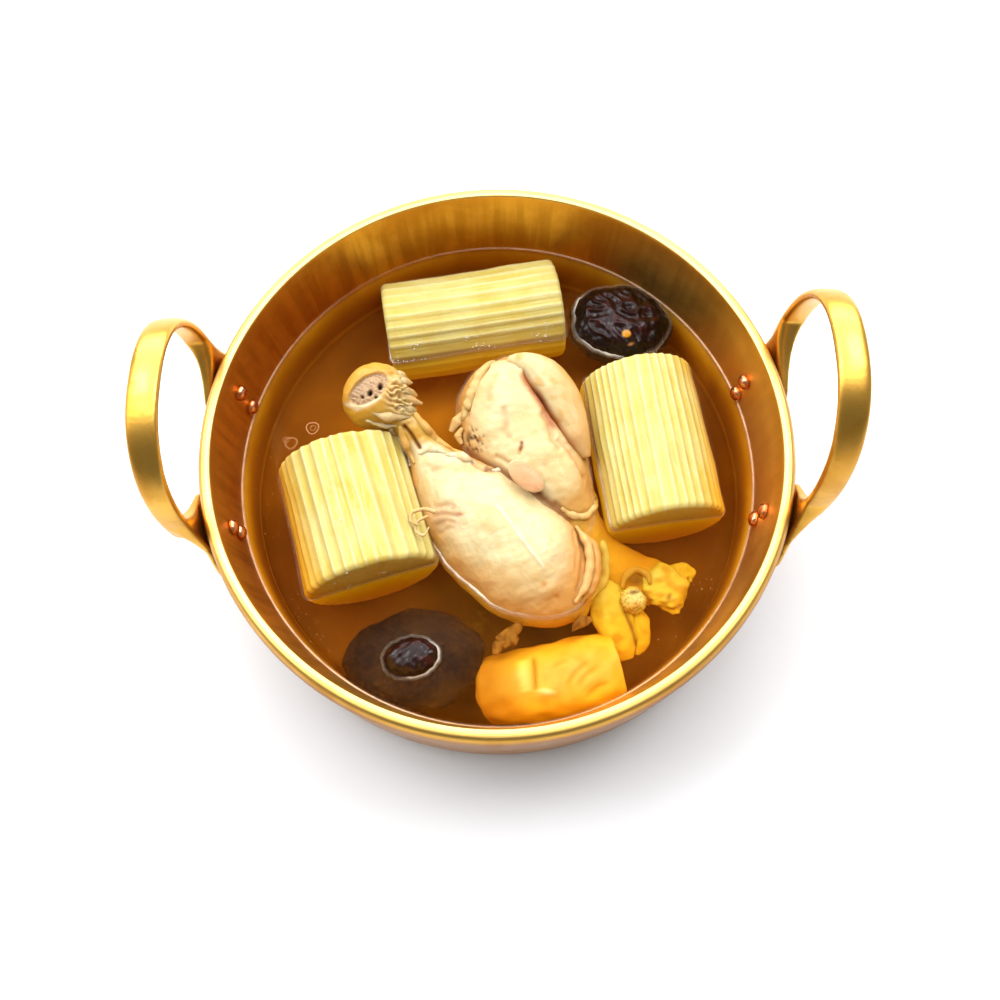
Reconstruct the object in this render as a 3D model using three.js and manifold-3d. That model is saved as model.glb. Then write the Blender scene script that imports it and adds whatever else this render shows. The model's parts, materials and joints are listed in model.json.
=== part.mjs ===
// A cast brass pot of clear chicken soup, two loop handles riveted to its sides.
// Millimetres, +Z up, origin at the centre of the base. The handles lie along X.
import * as THREE from 'three'
import * as BufferGeometryUtils from 'three/addons/utils/BufferGeometryUtils.js'
import Module from 'manifold-3d'

const wasm = await Module()
wasm.setup()

// ---- driving dimensions ----
const gap = 0.3                 // clearance between touching pieces
const potHeight = 60
const rimRadius = 100           // outer edge of the flat rim
const rimWidth = 3
const rimBevel = 0.5            // at the rim's inner edge
const rimFlat = 99.2            // where the rim's flat turns down into the shoulder
const wallRadius = 102          // upright outer wall, just under the rim's shoulder
const baseThickness = 3
const shoulderDrop = 6          // height of the rounded shoulder under the rim
const baseCorner = 13           // radius of the outer corner at the base
const floorCorner = 9           // radius of the inner corner at the floor
const waterLevel = 31
const waterRadius = 94.3        // inside of the wall at the water
const potSegments = 56

// set by hand, so no two pairs are alike: angle about Z, heights of the upper and lower rivet
const rivetPairs = {
  right_a: { angle: 16.2, heights: [43.2, 34.3] },
  right_b: { angle: -14.8, heights: [46, 36.6] },
  left_a: { angle: 196.6, heights: [46.4, 39.6] },
  left_b: { angle: 165.8, heights: [47.2, 35.8] },
}
const shankRadius = 1.4
const headRadius = 2.9
const headHeight = 2.2
const headLift = 0.6            // heads stand this far off the sloping inner wall

const loopPlane = 104           // the loops stand upright at this distance from the axis
const loopHalfWidth = 33.8
const loopFullness = 2.35       // 2 is a true oval, more is squarer at the shoulders
const loopWaist = 58            // height where a loop is widest
// bent by hand, so the two differ: turn about Z, height of the bar's middle, shift along Y
const loops = {
  handle_right: { turn: 0, top: 107, shift: 6 },
  handle_left: { turn: 180, top: 100.5, shift: -2 },
}
const barWidth = 10.2           // at the top of a loop
const barWidthLow = 8.8         // where it meets its feet
const barThickness = 3.6
const barSquareness = 0.75      // 1 is an oval section, 0 an oblong one
const plateThickness = 3.4
const meltFrom = 49.5           // heights between which a foot's plate turns into the bar
const meltTo = 66
const rimClearance = 1.1        // dark gap between the rim's shoulder and a handle

const deg = Math.PI / 180
const innerSlope = (rimRadius - rimWidth - waterRadius) / (potHeight - waterLevel)
const innerRadius = (z) => rimRadius - rimWidth - innerSlope * (potHeight - z)

// ---- solids ----
function solidOf(geometry) {
  const bare = geometry.index ? geometry.clone() : geometry
  bare.deleteAttribute('normal')
  bare.deleteAttribute('uv')
  const merged = BufferGeometryUtils.mergeVertices(bare, 1e-4)
  const index = merged.index.array
  const kept = []
  for (let i = 0; i < index.length; i += 3) {
    const [a, b, c] = [index[i], index[i + 1], index[i + 2]]
    if (a !== b && b !== c && c !== a) kept.push(a, b, c)
  }
  return new wasm.Manifold(new wasm.Mesh({
    numProp: 3,
    vertProperties: new Float32Array(merged.attributes.position.array),
    triVerts: new Uint32Array(kept),
  }))
}

function geometryOf(solid) {
  const mesh = solid.getMesh()
  const geometry = new THREE.BufferGeometry()
  geometry.setAttribute('position', new THREE.BufferAttribute(new Float32Array(mesh.vertProperties), 3))
  geometry.setIndex(Array.from(mesh.triVerts))
  geometry.computeVertexNormals()
  return geometry
}

// the biggest body of a solid, without the crumbs that a cut can leave
function biggestBody(solid) {
  return solid.decompose().sort((a, b) => b.volume() - a.volume())[0]
}

// a closed skin over rings of points, each ring closed by its middle at the two ends
function skin(rings) {
  const around = rings[0].length
  const middle = (ring) => ring.reduce((sum, p) => sum.add(p), new THREE.Vector3()).divideScalar(around)
  const points = [...rings.flat(), middle(rings[0]), middle(rings.at(-1))]
  const [first, last] = [points.length - 2, points.length - 1]
  const at = (i, j) => i * around + (j % around)
  const index = []
  for (let i = 0; i + 1 < rings.length; i++) {
    for (let j = 0; j < around; j++) {
      index.push(at(i, j), at(i + 1, j), at(i + 1, j + 1), at(i, j), at(i + 1, j + 1), at(i, j + 1))
    }
  }
  for (let j = 0; j < around; j++) {
    index.push(first, at(0, j), at(0, j + 1))
    index.push(last, at(rings.length - 1, j + 1), at(rings.length - 1, j))
  }
  const geometry = new THREE.BufferGeometry().setFromPoints(points)
  geometry.setIndex(index)
  return solidOf(geometry)
}

// a solid turned about Z from a profile of [radius, height] points
function turned(profile, segments = potSegments) {
  const points = profile.map(([r, z]) => new THREE.Vector2(r, z))
  const geometry = new THREE.LatheGeometry(points, segments)
  geometry.rotateX(Math.PI / 2)
  return solidOf(geometry)
}

// points of an arc from one angle to another, in degrees
function arc(cx, cz, radius, from, to, steps) {
  return Array.from({ length: steps + 1 }, (_, i) => {
    const a = (from + (to - from) * i / steps) * deg
    return [cx + radius * Math.cos(a), cz + radius * Math.sin(a)]
  })
}

// ---- the pot ----
function outerProfile(extra, rimExtra = extra) {
  const shoulder = arc(0, 0, 1, 0, 90, 3).map(([across, up]) => [
    rimFlat + (wallRadius - rimFlat) * across + rimExtra,
    potHeight - shoulderDrop * (1 - up),
  ])
  return [
    [0, -extra],
    ...arc(wallRadius - baseCorner, baseCorner, baseCorner + extra, -90, 0, 3),
    ...shoulder,
  ]
}

function innerProfile(inset) {
  const cornerHeight = baseThickness + floorCorner
  return [
    [rimRadius - rimWidth - inset, potHeight - rimBevel],
    [waterRadius - inset, waterLevel],
    ...arc(innerRadius(cornerHeight) - floorCorner, cornerHeight, floorCorner - inset, 0, -90, 3),
    [0, baseThickness + inset],
  ]
}

function potBody() {
  const rimEdge = [rimRadius - rimWidth + rimBevel, potHeight]
  const wall = turned([...outerProfile(0), rimEdge, ...innerProfile(0)])
  return rivetPlaces().reduce((pot, place) => pot.subtract(rivetShape(place, gap)), wall)
}

// what the pot holds, up to a height, a little inside its wall
function potInside(inset, top) {
  return turned([
    [0, baseThickness + inset],
    ...innerProfile(inset).slice(1, -1).reverse().filter(([, z]) => z < top),
    [innerRadius(top) - inset, top],
    [0, top],
  ])
}

// ---- rivets, two above each other through each foot of a handle ----
function rivetPlaces() {
  return Object.entries(rivetPairs).flatMap(([foot, { angle, heights }]) => (
    heights.map((height, i) => ({ name: `rivet_${foot}${i + 1}`, angle, height }))))
}

// a domed head inside the pot, a shank and a domed head outside, along the place's radius
function rivetShape({ angle, height }, extra = 0) {
  const inside = innerRadius(height) - headLift
  const outside = wallRadius + gap + plateThickness + gap
  const dome = (at, way) => arc(0, 0, 1, way < 0 ? -90 : 0, way < 0 ? 0 : 90, 2)
    .map(([x, y]) => [x * headRadius, at + y * headHeight])
  const profile = extra
    ? [[0, inside], [shankRadius + extra, inside], [shankRadius + extra, outside], [0, outside]]
    : [...dome(inside, -1), [shankRadius, inside], [shankRadius, outside], ...dome(outside, 1)]
  return turned(profile, 8).rotate([0, 90, 0]).rotate([0, 0, angle])
    .translate([0, 0, height])
}

// ---- handles ----
// points of a rounded oblong, -1 to 1 both ways
function roundedOblong(count) {
  const square = (x) => Math.sign(x) * Math.abs(x) ** barSquareness
  return Array.from({ length: count }, (_, j) => {
    const a = 2 * Math.PI * (j + 0.5) / count
    return [square(Math.cos(a)), square(Math.sin(a))]
  })
}

// half an oval with a short straight leg at each end, carrying the bar's section
function loopBar({ top, shift }) {
  const stations = 16
  const legAngle = 0.12           // how far the bar goes on into its feet, in radians
  const place = (phi) => {
    const low = Math.max(0, -phi, phi - Math.PI)
    const [c, s] = [Math.cos(phi), Math.sin(phi)]
    const across = loopHalfWidth * Math.sign(c) * (low > 0 ? 1 : Math.abs(c) ** (2 / loopFullness))
    const up = low > 0 ? -low * loopHalfWidth : (top - loopWaist) * Math.abs(s) ** (2 / loopFullness)
    return new THREE.Vector3(loopPlane, across + shift, loopWaist + up)
  }
  const rings = []
  for (let i = 0; i <= stations; i++) {
    const phi = -legAngle + (Math.PI + 2 * legAngle) * i / stations
    const along = place(phi + 0.01).sub(place(phi - 0.01)).normalize()
    const wide = new THREE.Vector3(-1, 0, 0)
    const thin = wide.clone().cross(along)
    const width = barWidthLow + (barWidth - barWidthLow) * Math.max(Math.sin(phi), 0)
    rings.push(roundedOblong(8).map(([w, h]) => place(phi)
      .addScaledVector(wide, w * width / 2)
      .addScaledVector(thin, h * barThickness / 2)))
  }
  return skin(rings)
}

// a foot from its lower tip up: height, then where it starts and ends along the wall
const footOutline = [
  [27.6, 27.2, 28.8], [30, 24.2, 32.2], [34, 22, 34.6], [38.5, 20, 39], [41, 19, 43.5], [44, 17.6, 42],
  [48, 15.4, 39], [50.4, 16, 37.6], [53, 19.4, 36.8], [56.5, 24.4, 36.2], [61, 29, 35.8], [66, 32.2, 35],
]

// a foot: a plate bent round the wall, which melts into the bar above it
function foot(sign, shift) {
  const rings = footOutline.map(([z, from, to]) => {
    const melt = Math.min(Math.max((z - meltFrom) / (meltTo - meltFrom), 0), 1)
    return roundedOblong(8).map(([w, h]) => {
      const across = (from + to) / 2 + w * (to - from) / 2
      const depth = (1 + h) / 2
      const radius = wallRadius + gap + plateThickness * depth
      const angle = sign * across / wallRadius
      const onWall = new THREE.Vector3(radius * Math.cos(angle), radius * Math.sin(angle), z)
      const inBar = new THREE.Vector3(loopPlane + barWidthLow * 0.48 * h, sign * across + shift, z)
      return onWall.lerp(inBar, melt)
    })
  })
  return skin(sign > 0 ? rings : rings.reverse())
}

function handle({ turn, top, shift }) {
  const envelope = turned([...outerProfile(gap, rimClearance), [0, potHeight]])
  const shape = loopBar({ top, shift }).add(foot(1, shift)).add(foot(-1, shift)).subtract(envelope)
  const turnedShape = biggestBody(shape).rotate([0, 0, turn])
  return rivetPlaces().reduce((solid, place) => solid.subtract(rivetShape(place, gap)), turnedShape)
}

// ---- food ----
// a closed tube of oval rings along stations of [x, y, z, half width, half height]
function lump(stations, { rings, around, relief = () => 0, grow = 0 }) {
  const line = new THREE.CatmullRomCurve3(stations.map(([x, y, z]) => new THREE.Vector3(x, y, z)))
  const sizes = new THREE.CatmullRomCurve3(stations.map(([, , , a, b]) => new THREE.Vector3(a, b, 0)))
  const up = new THREE.Vector3(0, 0, 1)
  const all = []
  for (let i = 0; i <= rings; i++) {
    const t = i / rings
    const centre = line.getPoint(t)
    const size = sizes.getPoint(t)
    const along = line.getTangent(t)
    const side = along.clone().cross(up).normalize()
    const top = side.clone().cross(along)
    const ring = []
    for (let j = 0; j < around; j++) {
      const a = 2 * Math.PI * j / around
      const swell = 1 + relief(t, a)
      ring.push(centre.clone()
        .addScaledVector(side, (size.x * swell + grow) * Math.cos(a))
        .addScaledVector(top, (size.y * swell + grow) * Math.sin(a)))
    }
    all.push(ring)
  }
  return skin(all)
}

// a soft dip or bump round one place of a lump's skin
function bump(t, a, t0, a0, tWidth, aWidth, height) {
  const turn = Math.atan2(Math.sin(a - a0 * deg), Math.cos(a - a0 * deg))
  return height * Math.exp(-(((t - t0) / tWidth) ** 2) - ((turn / (aWidth * deg)) ** 2))
}

const gourds = {
  gourd_back: { from: [-42.8, 60.6], to: [25, 71], radius: 19.6, ribs: 12, crown: 1 },
  gourd_right: { from: [61.8, -23], to: [53.9, 37.5], radius: 22, ribs: 12, crown: 4 },
  gourd_left: { from: [-44.5, -43], to: [-58.5, 5], radius: 24.3, ribs: 11, crown: 3 },
}

// a length of peeled, ribbed gourd lying on the floor of the pot
function gourd({ from, to, radius, ribs, crown }, grow = 0) {
  const samples = 3               // points across one rib
  const ribDepth = 0.9
  const edge = 2.2                // how far in from a cut end the full thickness is reached
  const height = baseThickness + gap + radius
  const start = new THREE.Vector3(...from, height)
  const end = new THREE.Vector3(...to, height)
  const along = end.clone().sub(start).normalize()
  const side = along.clone().cross(new THREE.Vector3(0, 0, 1))
  const up = new THREE.Vector3(0, 0, 1)
  const length = start.distanceTo(end)
  // how far along, and the share of the full thickness there
  const rows = [
    [-grow, 0.7], [0.35 * edge - grow, 0.95], [edge, 1], [length / 2, 1.01], [length - edge, 1],
    [length - 0.35 * edge + grow, 0.95], [length + 0.6 * crown + grow, 0.68], [length + crown + grow, 0.3],
  ]
  const rings = rows.map(([s, scale]) => {
    const ring = []
    for (let j = 0; j < ribs * samples; j++) {
      const a = 2 * Math.PI * j / (ribs * samples)
      const rib = ribDepth * (Math.abs(Math.sin(ribs * a / 2)) - 1)
      const r = scale * (radius + rib) + grow
      ring.push(start.clone().addScaledVector(along, s)
        .addScaledVector(side, r * Math.cos(a)).addScaledVector(up, r * Math.sin(a)))
    }
    return ring
  })
  return skin(rings)
}

// the drumstick in front: bare bone end, thin shank, fat rounded meat
function drumstick(grow = 0) {
  const stations = [
    [-52.5, 29, 43, 6, 6], [-49.5, 27, 43, 11, 9], [-44, 23.5, 42, 13, 10],
    [-37.5, 18.5, 40, 9.5, 9], [-32, 12.5, 38, 6, 6], [-27.5, 6, 34.5, 7.5, 8],
    [-20.5, -3, 30, 14, 13.5], [-11, -13.5, 26.5, 20.3, 18.5], [0.5, -25.5, 24.5, 23, 20.8],
    [11, -36, 24, 22.5, 20.5], [20.5, -45, 23, 18, 16.5],
    [27.5, -52, 22.5, 10.5, 10], [30.5, -55.5, 22.5, 2, 2],
  ]
  const relief = (t, a) => bump(t, a, 0.66, 75, 0.07, 14, -0.05) + bump(t, a, 0.5, 150, 0.1, 25, 0.05)
    + 0.02 * Math.sin(3 * a + 9 * t)
  return lump(stations, { rings: 20, around: 18, relief, grow })
}

// the thigh behind it, whose joint and skin hang down into the broth
function thigh(grow = 0) {
  const stations = [
    [4.5, 44.5, 28, 3, 3], [5, 40.5, 28, 13, 10], [6, 31, 28, 20.5, 15],
    [8, 18, 27, 24, 17.5], [12.5, 5, 26, 22.5, 18], [18, -6, 25, 18.5, 17],
    [23, -16, 23, 15, 15], [29, -26, 20.5, 11, 11.5], [36, -34, 19, 8, 8],
    [44, -40, 19, 7.5, 7.5], [53, -43, 20, 8.5, 5.5], [62, -44, 21, 7, 4], [68, -44, 21, 2, 2],
  ]
  const relief = (t, a) => bump(t, a, 0.25, 52, 0.17, 9, -0.22) + bump(t, a, 0.4, 100, 0.06, 30, 0.04)
    + 0.02 * Math.sin(4 * a + 7 * t)
  const body = lump(stations, { rings: 22, around: 18, relief, grow })
  const knob = lump([
    [40, -41, 20, 3, 3], [43, -45, 20.5, 7.5, 6.5], [47, -51, 20.5, 8, 7], [50, -56, 20, 3, 3],
  ], { rings: 4, around: 9, grow })
  const flap = lump([
    [46, -50, 19, 4, 3], [49, -58, 18.5, 6.5, 3.5], [48, -66, 18, 6, 3], [44, -72, 17.5, 2.5, 1.5],
  ], { rings: 5, around: 9, grow })
  return body.add(knob).add(flap)
}

const mushrooms = {
  mushroom_back: {
    centre: [49, 59.7], half: [20.3, 17.2], turn: -12,
    under: 20, edge: 27.5, shelf: 33, top: 36.4, knob: 0.27,
  },
  mushroom_front: {
    centre: [-30.5, -70.4], half: [25, 18], turn: 8,
    under: 17, edge: 24, shelf: 29.3, top: 34.8, knob: 0.4,
  },
}

// a braised mushroom cap: a wavy disc with a raised shiny middle
function mushroom({ centre, half, turn, under, edge, shelf, top, knob }, grow = 0) {
  const around = 24
  // from the knob outwards and under: share of the radius, and height
  const rows = [
    [knob * 0.45, top], [knob * 0.85, top - (top - shelf) * 0.3], [knob * 1.08, shelf + 0.3],
    [knob * 1.5, shelf - 0.6], [0.75, shelf - (shelf - edge) * 0.35], [0.93, edge + 1.6],
    [1, edge], [0.94, edge - 2.5], [0.6, under],
  ]
  const [kneeRow, rimRow] = [4, 6]
  const rings = rows.map(([scale, z], row) => {
    const ring = []
    for (let j = 0; j < around; j++) {
      const a = 2 * Math.PI * j / around
      const wave = 1 + scale * (0.025 * Math.sin(5 * a + 1) + 0.015 * Math.sin(9 * a))
      const [x, y] = half.map((h) => h * scale * wave + grow)
      const lift = row < kneeRow ? grow : (row > rimRow ? -grow : 0)
      ring.push(new THREE.Vector3(x * Math.cos(a), y * Math.sin(a), z + lift)
        .applyAxisAngle(new THREE.Vector3(0, 0, 1), turn * deg)
        .add(new THREE.Vector3(...centre, 0)))
    }
    return ring
  })
  return skin(rings)
}

// each piece keeps clear of those that were there before it
function foodPieces() {
  const makers = {}
  for (const [name, sizes] of Object.entries(gourds)) makers[name] = (grow) => gourd(sizes, grow)
  makers.drumstick = drumstick
  makers.thigh = thigh
  for (const [name, sizes] of Object.entries(mushrooms)) makers[name] = (grow) => mushroom(sizes, grow)
  const room = potInside(2 * gap, potHeight - rimBevel)
  const pieces = {}
  const before = []
  for (const [name, make] of Object.entries(makers)) {
    const whole = make(0).intersect(room)
    pieces[name] = biggestBody(before.reduce((solid, other) => solid.subtract(other), whole))
    before.push(make(gap))
  }
  return { pieces, grown: before }
}

function broth(grown) {
  const liquid = potInside(gap, waterLevel)
  return biggestBody(grown.reduce((solid, other) => solid.subtract(other), liquid))
}

// ---- the model ----
const looks = {
  brass: { color: 0xd9a93a, roughness: 0.3, metalness: 1 },
  copper: { color: 0xc87848, roughness: 0.3, metalness: 1 },
  broth: { color: 0x9a5410, roughness: 0.05, metalness: 0 },
  gourd: { color: 0xf3e487, roughness: 0.45, metalness: 0 },
  chicken: { color: 0xf3d6a2, roughness: 0.4, metalness: 0 },
  mushroom: { color: 0x2c1410, roughness: 0.2, metalness: 0 },
}

const model = new THREE.Group()

function addPiece(name, solid, look) {
  const mesh = new THREE.Mesh(geometryOf(solid), new THREE.MeshStandardMaterial(looks[look]))
  mesh.name = name
  model.add(mesh)
}

addPiece('pot', potBody(), 'brass')
for (const [name, loop] of Object.entries(loops)) addPiece(name, handle(loop), 'brass')
for (const place of rivetPlaces()) addPiece(place.name, rivetShape(place), 'copper')

const food = foodPieces()
for (const [name, solid] of Object.entries(food.pieces)) {
  const look = name.startsWith('gourd') ? 'gourd' : name.startsWith('mushroom') ? 'mushroom' : 'chicken'
  addPiece(name, solid, look)
}
addPiece('broth', broth(food.grown), 'broth')

export default model
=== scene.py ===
# %% [markdown]
# # A brass pot of clear chicken soup
#
# A wide cast brass pot with two arched handles holds clear amber broth. Lengths of ribbed gourd,
# a drumstick, a thigh and two dark mushrooms stand out of it. The plain solids of the frame say
# where each piece is and how big it is; here each gets its fine shape and its finish.
#
# The script reads from top to bottom as a lesson: first the tools, then the camera and the light,
# then the finishes, and then the pieces, from the pot inwards to the last speck on the broth.

import json

import bpy
import numpy as np
from mathutils import Matrix

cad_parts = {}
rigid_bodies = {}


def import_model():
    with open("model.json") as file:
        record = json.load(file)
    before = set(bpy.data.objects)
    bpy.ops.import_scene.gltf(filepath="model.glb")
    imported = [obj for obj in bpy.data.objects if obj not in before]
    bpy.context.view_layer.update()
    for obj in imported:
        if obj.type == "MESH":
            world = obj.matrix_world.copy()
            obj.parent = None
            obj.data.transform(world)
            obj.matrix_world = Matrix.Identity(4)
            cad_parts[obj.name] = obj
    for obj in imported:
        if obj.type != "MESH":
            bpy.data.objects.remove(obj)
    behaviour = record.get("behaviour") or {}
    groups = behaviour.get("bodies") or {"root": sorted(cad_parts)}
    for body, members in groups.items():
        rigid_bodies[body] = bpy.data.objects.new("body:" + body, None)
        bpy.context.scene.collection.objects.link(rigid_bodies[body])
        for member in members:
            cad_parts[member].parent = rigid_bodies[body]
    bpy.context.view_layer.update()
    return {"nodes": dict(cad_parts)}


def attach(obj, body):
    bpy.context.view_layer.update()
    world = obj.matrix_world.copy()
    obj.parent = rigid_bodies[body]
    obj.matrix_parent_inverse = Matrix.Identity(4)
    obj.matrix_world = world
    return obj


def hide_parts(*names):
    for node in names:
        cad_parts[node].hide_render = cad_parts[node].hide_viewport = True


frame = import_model()
MM = 0.001
print("frame pieces:", len(frame["nodes"]))

# %% [markdown]
# ## Where the camera stands
#
# The camera was found from the round rim, the round waterline and the rivets, which a picture
# shows as ovals. Heights are in millimetres above the table and the rim is at 60. The same numbers
# also say where a point of a piece falls in the picture, and this is used later to put folds,
# veins and spots in their places on the skin of a piece.

# %% The camera
AZIMUTH, ELEVATION, ROLL = np.radians([1.32, 66.76, -1.85])
DISTANCE, FOCAL_PIXELS, FRAME_PIXELS = 300.0, 882.01, 1000
LOOK_AT = np.array([1.06, -23.55, 60.0])


def unit(ways):
    """Each direction with its length made 1."""
    return ways / np.linalg.norm(ways, axis=-1, keepdims=True)


def camera_axes():
    """The eye, then the directions right, up and forwards, from azimuth, elevation and roll."""
    level = np.array([np.sin(AZIMUTH), -np.cos(AZIMUTH), 0]) * np.cos(ELEVATION)
    eye = DISTANCE * (level + [0, 0, np.sin(ELEVATION)]) + [0, 0, 60]
    forwards = LOOK_AT - eye
    forwards /= np.linalg.norm(forwards)
    right = np.cross(forwards, [0, 0, 1])
    right /= np.linalg.norm(right)
    up = np.cross(right, forwards)
    turn, rise = np.cos(ROLL), np.sin(ROLL)
    return eye, right * turn + up * rise, up * turn - right * rise, forwards


EYE, RIGHT, UP, FORWARDS = camera_axes()


def picture(points):
    """Where points fall in the picture: across and down, in pixels, by dividing by the distance."""
    away = points - EYE
    far = away @ FORWARDS
    middle = FRAME_PIXELS / 2
    return np.stack([middle + FOCAL_PIXELS * (away @ RIGHT) / far,
                     middle - FOCAL_PIXELS * (away @ UP) / far], -1)


def at_height(pixels, height):
    """The points of the level plane at that height which fall on those pixels."""
    pixels = np.atleast_2d(np.asarray(pixels, float))
    across = (pixels[:, :1] - FRAME_PIXELS / 2) / FOCAL_PIXELS
    down = (pixels[:, 1:] - FRAME_PIXELS / 2) / FOCAL_PIXELS
    rays = FORWARDS + across * RIGHT - down * UP
    return EYE + rays * ((height - EYE[2]) / rays[:, 2])[:, None]


def put(name, data):
    """An object of that mesh, lamp or camera, linked to the scene."""
    thing = bpy.data.objects.new(name, data)
    bpy.context.scene.collection.objects.link(thing)
    return thing


camera = put("camera", bpy.data.cameras.new("camera"))
camera.data.sensor_width = 36
camera.data.lens = FOCAL_PIXELS / FRAME_PIXELS * 36
camera.data.clip_start, camera.data.clip_end = 0.01, 20
turned = Matrix(np.column_stack([RIGHT, UP, -FORWARDS]).tolist()).to_4x4()
camera.matrix_world = Matrix.Translation(EYE * MM) @ turned
bpy.context.scene.camera = camera
print("lens %.2f mm, eye at %s mm" % (camera.data.lens, EYE.round(1)))

# %% [markdown]
# ## Light
#
# The pot stands on a white table under wide, soft lamps. The largest one is high and behind, so
# that the rim and the tops of the handles are bright and the shadow falls softly to the front.
# Brass shows what is around it, so the room itself is a pale grey rather than pure white: bright
# lamps and a duller room give metal its light and dark bands.

# %% Floor, room and lamps
def linear(code):
    """A colour written as in a paint chart, turned to the linear values that shaders want."""
    value = np.array([int(code[i:i + 2], 16) for i in (1, 3, 5)]) / 255
    return (*np.where(value <= 0.04045, value / 12.92, ((value + 0.055) / 1.055) ** 2.4), 1.0)


def lamp(name, place, towards, width, depth, watts):
    """A soft rectangular lamp at a place, in metres, turned to a point."""
    data = bpy.data.lights.new(name, "AREA")
    data.shape, data.size, data.size_y = "RECTANGLE", width, depth
    data.energy = watts
    back = np.array(place, float) - np.array(towards, float)
    back /= np.linalg.norm(back)
    side = np.cross([0, 1, 0.001], back)
    side /= np.linalg.norm(side)
    put(name, data).matrix_world = Matrix.Translation(place) @ Matrix(
        np.column_stack([side, np.cross(back, side), back]).tolist()).to_4x4()


LAMPS = {   # place, the point it looks at, width and depth in metres, then watts
    "lamp_overhead": ((0, 0.45, 1.25), (0, 0, 0.03), 2.2, 1.5, 27),
    "lamp_behind": ((0, 1.3, 0.72), (0, 0, 0.05), 2.4, 0.6, 24),
    "lamp_spark_left": ((-0.62, 0.36, 1.2), (-0.1, 0, 0.1), 0.42, 0.42, 5),
    "lamp_left": ((-1.1, 0.15, 0.85), (0.09, 0, 0.04), 0.9, 0.6, 6),
    "lamp_spark_right": ((0.66, 0.42, 1.2), (0.1, 0, 0.1), 0.42, 0.42, 5)}
ROOM_FRONT, ROOM_BACK = (-0.75, 0.2), (0.1, 0.44)   # (how far back one looks, brightness)
for name, settings in LAMPS.items():
    lamp(name, *settings)
room = bpy.data.worlds.new("room")
bpy.context.scene.world = room
room.use_nodes = True
sky = room.node_tree.nodes["Background"]
sky.inputs["Color"].default_value = linear("#FFFCF8")
way, apart, fade = (room.node_tree.nodes.new(f"ShaderNode{kind}")
                    for kind in ("TexCoord", "SeparateXYZ", "MapRange"))
fade.interpolation_type = "SMOOTHSTEP"
for socket, value in enumerate((ROOM_FRONT[0], ROOM_BACK[0], ROOM_FRONT[1], ROOM_BACK[1]), 1):
    fade.inputs[socket].default_value = value
room.node_tree.links.new(way.outputs["Generated"], apart.inputs[0])
room.node_tree.links.new(apart.outputs["Y"], fade.inputs[0])
room.node_tree.links.new(fade.outputs[0], sky.inputs["Strength"])
bpy.context.scene.view_settings.view_transform = "Standard"

# %% [markdown]
# ## Shader sums in plain Python
#
# A finish is a small calculation that is made at each point of a surface. Blender holds it as a
# net of nodes. The two classes below let the net be written as ordinary sums: a `Wire` is one
# output of a node, and adding or multiplying wires adds the Math nodes that are needed.

# %% Wires and finishes
class Wire:
    """One output of a node. Sums on it add Math nodes and give new wires."""

    def __init__(self, finish, socket):
        self.finish, self.socket = finish, socket

    def sum(self, operation, *values):
        """Any Math node on wires and numbers."""
        return self.finish.node("ShaderNodeMath", {"operation": operation}, values)

    def between(self, low, high, first=0.0, last=1.0):
        """first up to low, last from high on, and a smooth step between."""
        return self.finish.node("ShaderNodeMapRange", {"interpolation_type": "SMOOTHSTEP"},
                                [self, low, high, first, last])


def sign_of(operation, swapped):
    """What a sign such as + or * does between a wire and another value, on either side of it."""
    return lambda wire, other: wire.sum(operation, *((other, wire) if swapped else (wire, other)))


for sign, operation in (("add", "ADD"), ("sub", "SUBTRACT"), ("mul", "MULTIPLY"),
                        ("truediv", "DIVIDE"), ("pow", "POWER")):
    setattr(Wire, f"__{sign}__", sign_of(operation, False))
    setattr(Wire, f"__r{sign}__", sign_of(operation, True))


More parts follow.
